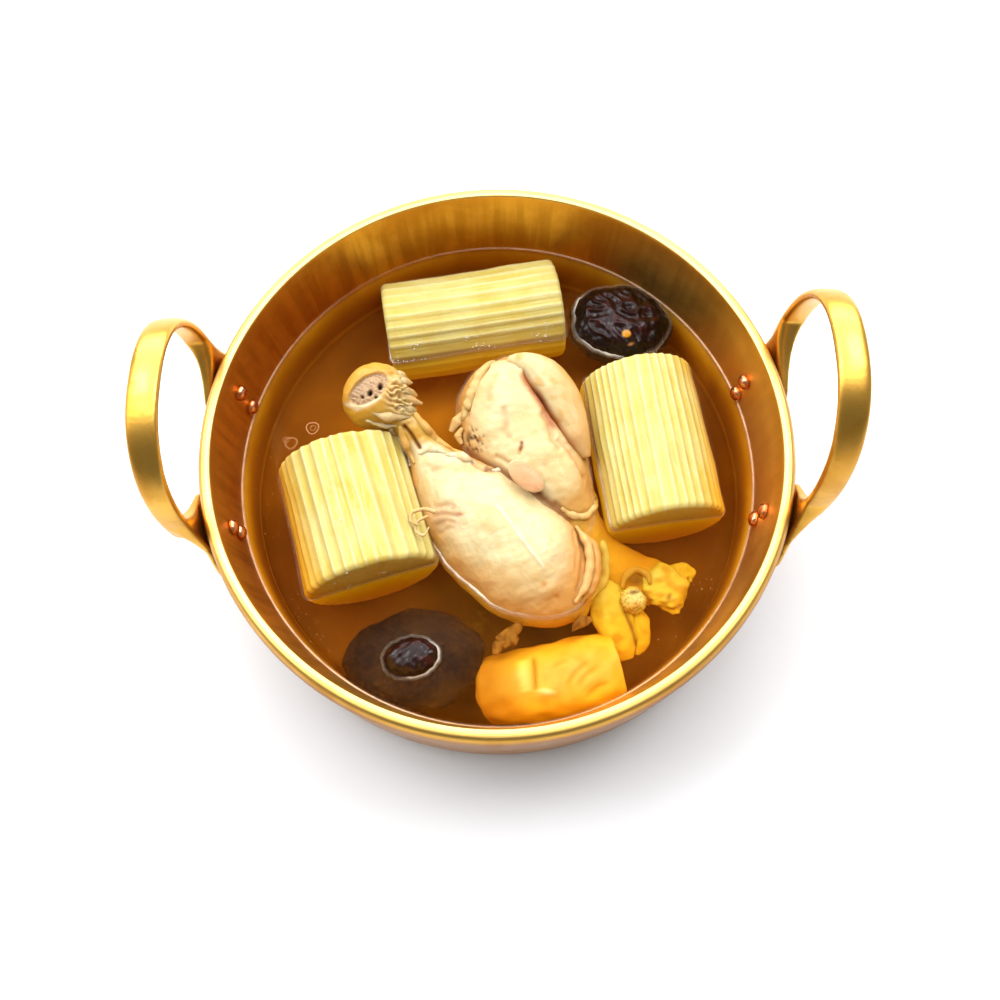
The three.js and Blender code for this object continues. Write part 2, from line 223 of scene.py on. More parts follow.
class Finish:
    """A material. Its shader's constant values are given by name when it is made."""

    def __init__(self, name, slot, **constants):
        self.name, self.slot = name, slot
        self.material = bpy.data.materials.new(name)
        self.material.use_nodes = True
        self.tree = self.material.node_tree
        self.shader = self.tree.nodes["Principled BSDF"]
        self.output = self.tree.nodes["Material Output"]
        for socket, value in constants.items():
            self.shader.inputs[socket.replace("_", " ")].default_value = value

    def node(self, kind, settings, values, output=0):
        """Any node: its settings first, then the values or links of its sockets."""
        made = self.tree.nodes.new(kind)
        for key, value in settings.items():
            setattr(made, key, value)
        for key, value in (values.items() if isinstance(values, dict) else enumerate(values)):
            if isinstance(value, Wire):
                self.tree.links.new(value.socket, made.inputs[key])
            elif value is not None:
                made.inputs[key].default_value = value
        return Wire(self, made.outputs[output])

    def place(self):
        """The point itself, in metres, in the frame that all the pieces share."""
        return self.node("ShaderNodeTexCoord", {}, [], "Object")

    def part(self, which):
        """One coordinate of the point: X, Y or Z."""
        return self.node("ShaderNodeSeparateXYZ", {}, [self.place()], which)

    def noise(self, grain, detail=2.0, where=None, warp=0.0):
        """Cloudy noise, 0 to 1. grain is how many clouds lie in a metre."""
        return self.node("ShaderNodeTexNoise", {}, {
            "Vector": where or self.place(), "Scale": grain, "Detail": detail,
            "Distortion": warp}, "Fac")

    def mix(self, amount, first, second, blend="MIX"):
        """The first colour where amount is 0, the second where it is 1."""
        return self.node("ShaderNodeMix", {"data_type": "RGBA", "blend_type": blend},
                         {0: amount, 6: first, 7: second}, 2)

    def layers(self, colour, *layers):
        """Colours laid over a first one: each layer is (how much, colour)."""
        for amount, over in layers:
            colour = self.mix(amount, colour, linear(over))
        return colour

    def grain_in(self, *sums):
        """Noise in any three sums of coordinates, which draws it out along what they leave out."""
        return self.noise(1.0, 3, self.node("ShaderNodeCombineXYZ", {}, sums))

    def painted(self, name, output="Fac"):
        """A value or colour that was painted on the points of the mesh."""
        return self.node("ShaderNodeAttribute", {"attribute_name": name}, [], output)

    def feed(self, socket, wire):
        """Leads a wire into a socket of the shader, by the socket's name."""
        self.tree.links.new(wire.socket, self.shader.inputs[socket])

    def bump(self, height, depth, strength=1.0):
        """Fine relief: the height, 0 to 1, times the depth in metres, tilts the surface."""
        self.feed("Normal", self.node("ShaderNodeBump", {}, {
            "Strength": strength, "Distance": depth, "Height": height}, "Normal"))


print("shader sums ready")

# %% [markdown]
# ## The depth of the broth
#
# Clear broth swallows blue light first and then green, so a pale piece turns yellow, then amber,
# then brown as it goes down. Instead of tracing light through a coloured liquid, every finish
# that can be under the broth works this out from its own height: white light times a factor for
# each colour that falls with depth, and then a slow drift to the brown of the broth itself. This
# is quick, has no grain, and looks the same from every side.

# %% Colour under the broth
WATER = 31.0
CLEAR_DEPTH = np.array([130.0, 23.0, 2.4])
MURK_DEPTH = 21.0
DEEP = linear("#A85C08")
FILM = 0.6          # the wet film is gone at this depth under the surface
E = 2.718


def sunk(finish, colour, inside=1.0, murk=MURK_DEPTH, deep=DEEP):
    """The colour seen through the broth: times exp(-depth / clear depth), then towards brown by
    1 - exp(-(depth / murk) squared). Depth is in millimetres, and 0 above the surface."""
    height = finish.part("Z") * (1 / MM)
    depth = height.sum("MAXIMUM", WATER - height, 0) * inside
    left = [E ** (depth * (-1 / reach)) for reach in CLEAR_DEPTH]
    light = finish.node("ShaderNodeCombineXYZ", {}, left)
    tinted = finish.mix(1.0, colour, light, "MULTIPLY")
    clear = E ** (depth * depth * (-1 / murk ** 2))
    return finish.mix(1 - clear, tinted, deep), depth


def wet(depth, gloss):
    """A film of broth: shiny above the surface, gone below it, where nothing is shiny."""
    return depth.between(0.0, FILM, gloss, 0.0)


print("broth is at", WATER, "mm")

# %% [markdown]
# ## Brass
#
# The pot was cast, turned on a lathe and polished. Turning leaves fine rings that run round it,
# so its relief is noise in the distance from the middle and in the height only. The pot's zones
# are told apart by the same two numbers: the rim, painted paler as a highlight, the streaked wall
# inside, painted brighter on the right as a pool of light, the outside, painted darker brown as
# shade below the rim, and all that is under the broth, where the metal loses its shine and the
# floor is painted darker as shade, away from the middle and under the meat.

# %% Brass finishes
def brass(name, dull):
    """Polished brass with its clouds and fine specks: the finish, its colour and roughness."""
    finish = Finish(name, "brass", Metallic=1.0, Specular_IOR_Level=0.05)
    clouds, fine = finish.noise(38, 3, warp=0.6), finish.noise(620, 2)
    colour = finish.layers(linear("#E9B551"), (clouds.between(0.35, 0.7), "#CF9638"),
                           (fine.between(0.55, 0.8, 0, 0.22), "#A86E1E"))
    rough = clouds.between(0.3, 0.7, dull, dull + 0.1) + fine * 0.06
    return finish, clouds, fine, colour, rough


def distance(x, y):
    """The distance from the middle, seen from above: the root of x squared plus y squared."""
    return (x * x + y * y) ** 0.5


FLOOR_MURK = 9.0    # the metal goes over to the colours of the floor at about this depth, in mm


def pot_brass():
    """The pot's brass. Its zones lie between distances from the middle and heights, in metres."""
    finish, _, fine, colour, rough = brass("brass_turned", 0.28)
    x, y, z = (finish.part(axis) for axis in "XYZ")
    out = distance(x, y)
    marks = finish.grain_in(out * 900, z * 900, 0.0)
    streaks = finish.grain_in(x / out * 24, y / out * 24, z * 18)
    wall = out.between(0.0960, 0.0972, 1, 0) * z.between(0.030, 0.034)
    # rim is where the paler painted highlight goes, most strongly on the rim's inner half
    rim = (out.between(0.0967, 0.0971) * out.between(0.0982, 0.0988, 1, 0.35)
           * z.between(0.0592, 0.0598))
    # outside is the outer wall below the rim, painted darker brown as shade
    outside = out.between(0.0990, 0.0998) * z.between(0.0565, 0.0596, 1, 0)
    colour = finish.layers(
        colour, (streaks.between(0.4, 0.62, 0, 0.5) * wall, "#B07A22"),
        # painted light: the right of the inner wall brighter, as a pool of light falls there
        (x.between(0.03, 0.095, 0, 0.7) * wall, "#FFD678"),
        # painted highlight: the rim paler; painted shade: the outside below the rim darker brown
        (rim * 0.9, "#EACF86"), (outside * 0.9, "#9C6632"))
    hang = finish.noise(34, 4, warp=1.4)
    # The floor under the broth, with painted shade: darker away from the middle and darkest under
    # the drumstick at the front. The clouds after that are what hangs in the broth.
    floor = finish.layers(
        linear("#B46C0C"), (distance(x + 0.012, y - 0.012).between(0.02, 0.075), "#8C4C08"),
        (distance(x, y + 0.062).between(0.012, 0.05, 0.95, 0), "#5E3405"),
        (hang.between(0.35, 0.7, 0, 0.45), "#7A4408"), (hang.between(0.2, 0.4, 0.3, 0), "#D08A1E"))
    inside = out.between(0.0972, 0.0976, 1, 0) * z.between(0.0012, 0.0016)
    colour, depth = sunk(finish, colour, inside, FLOOR_MURK, floor)
    finish.feed("Base Color", colour)
    finish.feed("Metallic", depth.between(0.0, 3.0, 1, 0))
    finish.feed("Roughness", rough + depth.between(0.0, 2.0, 0, 0.5) + marks * 0.1)
    finish.bump(marks * 0.5 + fine * 0.2, 0.00012, 0.35)
    return finish


def handle_brass():
    """The handles' brass, brushed and not turned."""
    finish, clouds, fine, colour, rough = brass("brass_satin", 0.26)
    finish.feed("Base Color", colour)
    finish.feed("Roughness", rough)
    finish.bump(fine * 0.5 + clouds, 0.00025, 0.3)
    return finish


BRASS_POT, BRASS_HANDLE = pot_brass(), handle_brass()
print("finishes:", BRASS_POT.name, BRASS_HANDLE.name)

# %% [markdown]
# ## Copper
#
# The rivets are soft copper, hammered into domes, with darker and paler clouds in their colour.

# %% Copper finish
COPPER = Finish("copper", "copper_rivet", Metallic=1.0)
copper_clouds = COPPER.noise(420, 3)
copper_colour = COPPER.mix(copper_clouds.between(0.35, 0.7), linear("#F2AE88"), linear("#CC7446"))
COPPER.feed("Base Color", copper_colour)
COPPER.feed("Roughness", copper_clouds.between(0.3, 0.7, 0.2, 0.34))
COPPER.bump(COPPER.noise(900, 2), 0.0002, 0.4)
print("finish:", COPPER.name)

# %% [markdown]
# ## Food finishes
#
# Each food mesh carries its own painted colours: they are worked out with the shape, because the
# same fold that dips is also painted darker, as shade. The finish adds what is finer than the
# mesh: fibres, pores and mottling, a wet film above the broth, and the depth colour below it.
# Under the broth it also glows a little in its own colour, a painted light for what the cloudy
# broth scatters onto it. A little light spreads under the surface of cooked skin and gourd, which
# softens their shadows.

# %% Gourd, chicken and mushroom finishes
PALE = 0.63         # cooked flesh gives back about this share of what white paint would
WARM, GREY = np.array([1, 0.86, 0.66]), 0.5


def food(name, slot, pores, mottle, relief, roughness, gloss, soft, reach,
         murk=MURK_DEPTH, glow=0.1):
    """A wet food finish on the painted colour "tone", with its depth colour and fine relief.
    soft is how much light spreads under its surface and reach how far; murk is the depth at which
    the broth hides it, and glow the light that the cloudy broth lends it there."""
    finish = Finish(name, slot, Subsurface_Weight=soft, Subsurface_Scale=reach,
                    Coat_Roughness=0.12, Coat_IOR=1.36, Specular_IOR_Level=0.12,
                    Subsurface_Radius=(1.0, 0.55, 0.25), Emission_Strength=1.0)
    tone = finish.mix(1.0, finish.painted("tone", "Color"), (PALE, PALE, PALE, 1), "MULTIPLY")
    spots, patches = finish.noise(pores, 3), finish.noise(pores * 0.16, 3, warp=0.8)
    darker = finish.mix(1.0, tone, (*(WARM * (1 - mottle) + mottle * GREY), 1), "MULTIPLY")
    colour = finish.mix(patches.between(0.42, 0.7, 0, 0.6), tone, darker)
    colour = finish.mix(spots.between(0.55, 0.75, 0, 0.35), colour, darker)
    colour, depth = sunk(finish, colour, murk=murk)
    finish.feed("Base Color", colour)
    # painted light: under the broth the finish glows in its own colour, for light the broth
    # scatters
    scattered = finish.mix(1.0, colour, linear("#FFF0D0"), "MULTIPLY")
    finish.feed("Emission Color", finish.mix(depth.between(0, 5, 0, glow), (0, 0, 0, 1), scattered))
    finish.material.cycles.emission_sampling = "NONE"
    finish.feed("Roughness", spots.between(0.3, 0.7, roughness, roughness + 0.12)
                + depth.between(0, 1, 0, 0.4))
    finish.feed("Coat Weight", wet(depth, gloss) * patches.between(0.2, 0.6, 0.6, 1))
    finish.bump(spots * 0.6 + patches * 0.8, relief, 0.6)
    return finish


GOURD = food("gourd_flesh", "gourd", pores=700, mottle=0.1, relief=0.0003, roughness=0.38,
             gloss=0.25, soft=0.0, reach=0.006, murk=34.0, glow=0.45)
SKIN = food("chicken_skin", "chicken", pores=900, mottle=0.1, relief=0.0004, roughness=0.36,
            gloss=0.4, soft=0.3, reach=0.007)
MUSHROOM = food("mushroom_skin", "mushroom", pores=1100, mottle=0.3, relief=0.0004,
                roughness=0.28, gloss=0.4, soft=0.0, reach=0.001, murk=80.0, glow=0.0)
print("finishes:", GOURD.name, SKIN.name, MUSHROOM.name)

# %% [markdown]
# ## Broth
#
# The broth's body is a clear, faintly cloudy amber. Its surface reflects more at a low angle, which
# is the Fresnel effect. The finish mixes three things: see-through, a thin veil of amber, and a
# mirror. The veil carries small clouds, as fat and fine crumbs hang in it.

# %% Broth finishes
def clear_over(name, slot, veil_colour, veil, mirror, roughness=0.04):
    """See-through, with a share veil of the finish's own colour and a share mirror on top."""
    finish = Finish(name, slot, Roughness=roughness, IOR=1.33, Specular_IOR_Level=0.1)
    finish.feed("Base Color", veil_colour(finish))
    nodes, links = finish.tree.nodes, finish.tree.links
    through = nodes.new("ShaderNodeBsdfTransparent")
    gloss = nodes.new("ShaderNodeBsdfGlossy")
    gloss.inputs["Roughness"].default_value = roughness
    gloss.inputs["Color"].default_value = linear("#FFCE8C")
    lower, upper = nodes.new("ShaderNodeMixShader"), nodes.new("ShaderNodeMixShader")
    links.new(veil(finish).socket, lower.inputs[0])
    links.new(through.outputs[0], lower.inputs[1])
    links.new(finish.shader.outputs[0], lower.inputs[2])
    links.new(mirror(finish).socket, upper.inputs[0])
    links.new(lower.outputs[0], upper.inputs[1])
    links.new(gloss.outputs[0], upper.inputs[2])
    links.new(upper.outputs[0], finish.output.inputs["Surface"])
    return finish


def fresnel(finish, amount):
    """The share that a water surface reflects, which grows at low angles, times an amount."""
    return finish.node("ShaderNodeFresnel", {}, {"IOR": 1.33}) * amount


BROTH = clear_over(
    "broth_amber", "broth",
    lambda f: f.layers(linear("#C87A14"), (f.noise(60, 3, warp=1.0).between(0.3, 0.7), "#A8600A")),
    lambda f: f.noise(45, 4, warp=1.2).between(0.25, 0.75, 0.02, 0.07),
    lambda f: fresnel(f, 0.12))
# Here the veil is a painted highlight, near white on the wet edges and the fat's colour on the fat
# rings, as strong as the shine painted on them.
WET_EDGE = clear_over(
    "broth_edge", "broth",
    lambda f: f.painted("tone", "Color"),
    lambda f: f.painted("shine") * f.noise(300, 2).between(0.2, 0.6, 0.6, 1),
    lambda f: fresnel(f, 0.25), 0.12)
print("finishes:", BROTH.name, WET_EDGE.name)

# %% [markdown]
# ## Meshes from grids of points
#
# Nearly every piece here is a sheet of points, rows along it and columns round it, closed at
# both ends by one middle point. Once a rule gives all the points at once, the faces are always
# the same pattern, so one helper makes every mesh.

# %% From a grid to a piece
def closed_faces(rows, around):
    """Four-sided faces between rows, and a fan of three-sided ones to the middle of each end."""
    i, j = np.meshgrid(np.arange(rows - 1), np.arange(around), indexing="ij")
    after = (j + 1) % around
    quads = np.stack([i * around + j, (i + 1) * around + j,
                      (i + 1) * around + after, i * around + after], -1).reshape(-1, 4)
    j = np.arange(around)
    after = (j + 1) % around
    first, last, end = rows * around, rows * around + 1, (rows - 1) * around
    fans = np.concatenate([np.stack([np.full(around, first), j, after], -1),
                           np.stack([np.full(around, last), end + after, end + j], -1)])
    return quads, fans


def spread(grid):
    """A grid's values in one list, and then the mean of its first and of its last row."""
    return np.concatenate([grid.reshape(-1, grid.shape[-1]), grid[0].mean(0)[None],
                           grid[-1].mean(0)[None]])


def volume(points, quads, fans):
    """Six times the signed volume: each triangle with the origin makes a small pyramid."""
    corners = np.concatenate([quads[:, [0, 1, 2]], quads[:, [0, 2, 3]], fans])
    a, b, c = (points[corners[:, k]] for k in range(3))
    return np.einsum("ij,ij->", a, np.cross(b, c))


def plain_mesh(name, points, faces, material):
    """A mesh in metres, with one material."""
    mesh = bpy.data.meshes.new(name)
    mesh.from_pydata(points, [], faces)
    mesh.materials.append(material)
    return mesh


def add_piece(name, shells, finish, replaced=(), **painted):
    """A piece of one or more closed shells, each (points, quads, fans) in millimetres."""
    all_points, faces, shift = [], [], 0
    for points, quads, fans in shells:
        if volume(points, quads, fans) < 0:
            quads, fans = quads[:, ::-1], fans[:, ::-1]
        all_points.append(points)
        faces += (quads + shift).tolist() + (fans + shift).tolist()
        shift += len(points)
    points = np.concatenate(all_points)
    mesh = plain_mesh(name, (points * MM).tolist(), faces, finish.material)
    mesh.polygons.foreach_set("use_smooth", np.ones(len(mesh.polygons), bool))
    for key, values in painted.items():
        values = np.asarray(values, np.float32)
        kind = "FLOAT" if values.ndim == 1 else "FLOAT_COLOR"
        stored = mesh.attributes.new(key, kind, "POINT")
        stored.data.foreach_set("value" if kind == "FLOAT" else "color", values.ravel())
    mesh.update()
    piece = put(name, mesh)
    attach(piece, "root")
    if replaced:
        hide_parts(*replaced)
    print("%-18s %6d points, %s to %s mm" % (
        name, len(points), points.min(0).round(1), points.max(0).round(1)))
    return piece


def shell(grid):
    """A grid as one closed shell."""
    return spread(grid), *closed_faces(*grid.shape[:2])


def circle(count):
    """Angles once round a circle, evenly spaced."""
    return np.linspace(0, 2 * np.pi, count, endpoint=False)


def revolve(profile, around):
    """A profile of (radius, height) carried round the Z axis."""
    profile = np.asarray(profile, float)
    angle = circle(around)
    return np.stack([profile[:, :1] * np.cos(angle), profile[:, :1] * np.sin(angle),
                     np.repeat(profile[:, 1:], around, 1)], -1)


print("mesh helpers ready")

# %% [markdown]
# ## Curves through a few places
#
# A long piece of food follows a line, and its width and height change along it. A Catmull-Rom
# curve goes smoothly through every place that it is given, so a dozen stations are enough.

# %% Smooth curves and soft noise
def curve(stations, t):
    """A centripetal Catmull-Rom curve through the stations, at the steps t from 0 to 1."""
    p = np.asarray(stations, float)
    p = np.concatenate([2 * p[:1] - p[1:2], p, 2 * p[-1:] - p[-2:-1]])
    s = np.clip(np.asarray(t, float), 0, 1) * (len(p) - 3)
    i = np.minimum(s.astype(int), len(p) - 4)
    w = (s - i)[:, None]
    p0, p1, p2, p3 = (p[i + k] for k in range(4))
    d0, d1, d2 = (np.maximum(np.sqrt(np.linalg.norm(b - a, axis=1)), 1e-3)[:, None]
                  for a, b in ((p0, p1), (p1, p2), (p2, p3)))
    m1 = d1 * ((p1 - p0) / d0 - (p2 - p0) / (d0 + d1) + (p2 - p1) / d1)
    m2 = d1 * ((p2 - p1) / d1 - (p3 - p1) / (d1 + d2) + (p3 - p2) / d2)
    return p1 + w * m1 + w * w * (3 * (p2 - p1) - 2 * m1 - m2) + w ** 3 * (2 * (p1 - p2) + m1 + m2)


def ripple(points, size, seed, waves=14):
    """Soft noise from -1 to 1: a mean of plane waves about that size, in random directions."""
    draw = np.random.default_rng(seed)
    ways = draw.normal(size=(waves, 3))
    lengths = np.linalg.norm(ways, axis=1)[:, None]
    ways *= (2 * np.pi / size) * draw.uniform(0.6, 1.5, (waves, 1)) / lengths
    phase = draw.uniform(0, 2 * np.pi, waves)
    return np.clip(np.sin(points @ ways.T + phase).sum(-1) / np.sqrt(waves), -1.6, 1.6)


def smooth(value, low, high):
    """0 up to low, 1 from high on, and a smooth step between."""
    w = np.clip((value - low) / (high - low), 0, 1)
    return w * w * (3 - 2 * w)


def limb(stations, rows, around):
    """A closed tube: an oval carried along the stations [x, y, z, half width, half height]."""
    stations = np.asarray(stations, float)
    t = np.linspace(0, 1, rows)
    middle, size = curve(stations[:, :3], t), curve(stations[:, 3:], t)
    along = unit(curve(stations[:, :3], t + 1e-3) - curve(stations[:, :3], t - 1e-3))
    side = unit(np.cross(along, [0, 0, 1]))
    top = np.cross(side, along)
    angle = circle(around)
    c, s = np.cos(angle), np.sin(angle)
    return (middle[:, None] + size[:, :1, None] * c[:, None] * side[:, None]
            + size[:, 1:2, None] * s[:, None] * top[:, None])


def swing(x, y, degrees):
    """x and y turned about the middle: x cos - y sin, and x sin + y cos."""
    c, s = np.cos(np.radians(degrees)), np.sin(np.radians(degrees))
    return x * c - y * s, x * s + y * c


def outwards(grid):
    """The direction straight out of a closed grid at each of its points."""
    down = np.gradient(grid, axis=0)
    across = np.roll(grid, -1, 1) - np.roll(grid, 1, 1)
    way = np.cross(down, across)
    way /= np.maximum(np.linalg.norm(way, axis=-1, keepdims=True), 1e-9)
    return way if ((grid - grid.mean((0, 1))) * way).sum() > 0 else -way


print("curve helpers ready")

# %% [markdown]
# ## Sculpting by the picture
#
# A fold in a piece of meat has no simple rule. So folds, ridges and spots are given as short
# paths in the picture, and each point of the mesh that faces the camera finds how far it falls
# from such a path. A push along the surface's own direction, in or out, then shapes the fold,
# and the same distance also paints it. From any other side the fold is real relief.

# %% Folds and spots
def from_path(pixels, path):
    """The distance from each pixel to a path, and how far along it, 0 to 1."""
    path = np.asarray(path, float)
    starts, steps = path[:-1], np.diff(path, axis=0)
    lengths = np.linalg.norm(steps, axis=1)
    away = pixels[..., None, :] - starts
    w = np.clip((away * steps).sum(-1) / lengths ** 2, 0, 1)
    gaps = np.linalg.norm(away - w[..., None] * steps, axis=-1)
    near = gaps.argmin(-1)
    reached = (np.cumsum(lengths) - lengths)[near] + np.take_along_axis(
        w, near[..., None], -1)[..., 0] * lengths[near]
    return gaps.min(-1), reached / lengths.sum()


def fold(pixels, path, width, fade=0.12):
    """1 on the path, falling away as a bell of that width, and fading at the path's ends."""
    gap, along = from_path(pixels, path)
    ends = smooth(along, 0, fade) * (1 - smooth(along, 1 - fade, 1)) if fade else 1
    return np.exp(-(gap / width) ** 2) * ends


def spot(pixels, centre, half, turn=0.0):
    """1 in the middle of an oval, 0 outside it, with a round shoulder."""
    away = pixels - np.asarray(centre, float)
    across, down = swing(away[..., 0], away[..., 1], -turn)
    q = (across / half[0]) ** 2 + (down / half[1]) ** 2
    return np.clip(1 - q, 0, 1) ** 2


def beside(pixels, path, width):
    """A step: 0 left of the path and 1 right of it, as seen going along it."""
    path = np.asarray(path, float)
    gap, _ = from_path(pixels, path)
    steps = np.diff(path, axis=0)
    away = pixels[..., None, :] - path[:-1]
    w = np.clip((away * steps).sum(-1) / (steps ** 2).sum(-1), 0, 1)
    near = np.linalg.norm(away - w[..., None] * steps, axis=-1).argmin(-1)
    side = steps[near, 0] * np.take_along_axis(away[..., 1], near[..., None], -1)[..., 0] \
        - steps[near, 1] * np.take_along_axis(away[..., 0], near[..., None], -1)[..., 0]
    return smooth(np.sign(side) * gap, -width, width)


def facing(grid, way):
    """How much each point faces the camera: 0 from the side or behind, 1 from in front."""
    return smooth((unit(EYE - grid) * way).sum(-1), 0.0, 0.3)


def folds(pixels, rows):
    """The sum of many folds. Each row is (path, width, depth)."""
    return sum(fold(pixels, path, width) * deep for path, width, deep in rows)


def spots(pixels, *rows):
    """The sum of many spots. Each row is (height, centre, half sizes, turn if any)."""
    return sum(high * spot(pixels, *oval) for high, *oval in rows)


def over(tone, *layers):
    """Colours laid over each other: each layer is (how much, colour), how much from 0 to 1."""
    for amount, colour in layers:
        amount = np.clip(amount, 0, 1)[..., None]
        tone = tone * (1 - amount) + np.array(linear(colour)) * amount
    return tone


def paint(grid, colour, *layers):
    """One colour for all the points of a grid, with layers over it."""
    return over(np.tile(linear(colour), (*grid.shape[:2], 1)), *layers)


print("sculpting helpers ready")

# %% [markdown]
# ## The pot
#
# A pot with a round plan is one outline turned about its axis. The outline goes up the outside,
# over a rounded shoulder, across the flat rim, down the inside, which narrows a little, and
# round the corner to the middle of the floor.

# %% Pot
RIM_HEIGHT, RIM_OUTER, RIM_INNER = 60.0, 99.2, 97.0
WALL, WATER_RADIUS, FLOOR = 102.0, 94.3, 3.0
SHOULDER, BASE_CORNER, FLOOR_CORNER = 6.0, 13.0, 9.0
SLOPE = (RIM_INNER - WATER_RADIUS) / (RIM_HEIGHT - WATER)


def inner_radius(height):
    """The radius of the wall's inside, which leans outwards as it rises."""
    return RIM_INNER - SLOPE * (RIM_HEIGHT - height)


def bow(cx, cz, rx, rz, first, last, steps):
    """Points of an oval's arc, from one angle to another in degrees."""
    a = np.radians(np.linspace(first, last, steps))
    return np.stack([cx + rx * np.cos(a), cz + rz * np.sin(a)], -1)


corner_height = FLOOR + FLOOR_CORNER
outline = np.concatenate([
    [[0.001, 0], [40, 0], [80, 0]],
    bow(WALL - BASE_CORNER, BASE_CORNER, BASE_CORNER, BASE_CORNER, -90, 0, 14),
    np.stack([np.full(8, WALL), np.linspace(18, 52, 8)], -1),
    bow(RIM_OUTER, RIM_HEIGHT - SHOULDER, WALL - RIM_OUTER, SHOULDER, 0, 84, 14),
    [[RIM_OUTER - 0.4, RIM_HEIGHT], [RIM_INNER + 0.9, RIM_HEIGHT]],
    bow(RIM_INNER + 0.7, RIM_HEIGHT - 0.7, 0.7, 0.7, 90, 175, 7),
    [[inner_radius(h), h] for h in np.linspace(RIM_HEIGHT - 2, corner_height, 22)],
    bow(inner_radius(corner_height) - FLOOR_CORNER, corner_height, FLOOR_CORNER, FLOOR_CORNER,
        0, -90, 12),
    [[60, FLOOR], [30, FLOOR], [0.001, FLOOR]]])
add_piece("pot_body", [shell(revolve(outline, 320))], BRASS_POT, ["pot"])

# %% [markdown]
# ## Rivets
#
# Each rivet is a short rod with a dome at each end, turned from one small outline and then laid
# along the pot's radius at its place. They were set by hand, so no two pairs sit alike.

# %% Rivets
RIVETS = {"right_a": (16.2, 43.2, 34.3), "right_b": (-14.8, 46.0, 36.6),
          "left_a": (196.6, 46.4, 39.6), "left_b": (165.8, 47.2, 35.8)}   # angle, then two heights
HEAD_RADIUS, HEAD_HEIGHT, SHANK = 2.9, 2.2, 1.4
PLATE, GAP = 3.4, 0.3


def rivet(angle, height):
    """A dome, a rod and a dome, turned about X, then swung round Z to its angle and lifted."""
    inside, outside = inner_radius(height) - 0.6, WALL + GAP + PLATE + GAP
    profile = np.concatenate([
        bow(0, inside, HEAD_RADIUS, HEAD_HEIGHT, -89, -8, 12), [[HEAD_RADIUS, inside + 0.35]],
        [[SHANK, inside + 0.5], [SHANK, outside - 0.2]], [[HEAD_RADIUS, outside - 0.1]],
        bow(0, outside, HEAD_RADIUS, HEAD_HEIGHT, 8, 89, 12)])
    rod = revolve(profile, 40)[..., [2, 1, 0]]
    return np.stack([*swing(rod[..., 0], rod[..., 1], angle), rod[..., 2] + height], -1)


for foot_name, (angle, *heights) in RIVETS.items():
    for number, height in enumerate(heights, 1):
        name = f"rivet_{foot_name}{number}"
        add_piece(f"copper_{name}", [shell(rivet(angle, height))], COPPER, [name])

# %% [markdown]
# ## Handles
#
# Each handle was cast in one piece and bent up by hand: a flat bar in an arch, which spreads at
# each foot into a plate against the pot's wall. Cast metal has soft inner corners where two forms
# meet. The bar and the feet are therefore made as separate closed shells, melted together by a
# voxel remesh and smoothed, which leaves just such corners.

# %% Handles
LOOP_PLANE, HALF_WIDTH, WAIST, FULLNESS = 104.0, 33.8, 58.0, 2.35
BAR_WIDTH, BAR_WIDTH_LOW, BAR_THICKNESS = 9.9, 8.8, 3.5
MELT_FROM, MELT_TO = 49.5, 66.0
RIM_CLEARANCE = 1.1
LOOPS = {"right": (1, 106.9, 6.0), "left": (-1, 100.4, -2.0)}   # turn, height, shift along Y
FOOT = np.array([
    [27.6, 27.2, 28.8], [30, 24.2, 32.2], [34, 22, 34.6], [38.5, 20, 39], [41, 19, 43.5],
    [44, 17.6, 42], [48, 15.4, 39], [50.4, 16, 37.6], [53, 19.4, 36.8], [56.5, 24.4, 36.2],
    [61, 29, 35.8], [66, 32.2, 35]])   # height, and where the foot starts and ends across


def rounded_oblong(count, square):
    """Points round an oblong with soft corners: the powers of a cosine and of a sine."""
    a = circle(count)
    return [np.sign(v) * np.abs(v) ** square for v in (np.cos(a), np.sin(a))]


def loop_bar(top, shift):
    """The oblong carried round half a full oval: across = cos(phi) and up = sin(phi), each to
    the power 2 / fullness, with a short straight leg at both ends."""
    phi = np.linspace(-0.12, np.pi + 0.12, 190)
    low = np.maximum(0, np.maximum(-phi, phi - np.pi))
    c, s = np.cos(phi), np.where(low > 0, 0, np.abs(np.sin(phi)))
    across = HALF_WIDTH * np.sign(c) * np.where(low > 0, 1, np.abs(c) ** (2 / FULLNESS))
    up = (top - WAIST) * s ** (2 / FULLNESS) - low * HALF_WIDTH
    middle = np.stack([np.full_like(phi, LOOP_PLANE), across + shift, WAIST + up], -1)
    thin = np.cross([-1.0, 0, 0], unit(np.gradient(middle, axis=0)))
    wide, high = rounded_oblong(48, 0.75)
    width = BAR_WIDTH_LOW + (BAR_WIDTH - BAR_WIDTH_LOW) * s
    return (middle[:, None] + (width[:, None] / 2 * wide)[..., None] * np.array([-1.0, 0, 0])
            + BAR_THICKNESS / 2 * high[:, None] * thin[:, None])


def foot(sign, shift):
    """A plate on the wall, turning into the bar above it: each height has its own oblong, which
    goes from lying along the wall to standing away from it."""
    rows = curve(FOOT, np.linspace(0, 1, 70))
    height, start, end = rows[:, :1], rows[:, 1:2], rows[:, 2:]
    wide, deep = rounded_oblong(72, 0.6)
    across = sign * ((start + end) / 2 + wide * (end - start) / 2)
    radius = WALL + GAP + PLATE * (1 + deep) / 2
    angle = across / WALL
    on_wall = np.stack([radius * np.cos(angle), radius * np.sin(angle), height + 0 * angle], -1)
    in_bar = np.stack([LOOP_PLANE + BAR_WIDTH_LOW * 0.48 * deep + 0 * angle, across + shift,
                       height + 0 * angle], -1)
    melt = np.clip((height - MELT_FROM) / (MELT_TO - MELT_FROM), 0, 1)[..., None]
    return on_wall * (1 - melt) + in_bar * melt


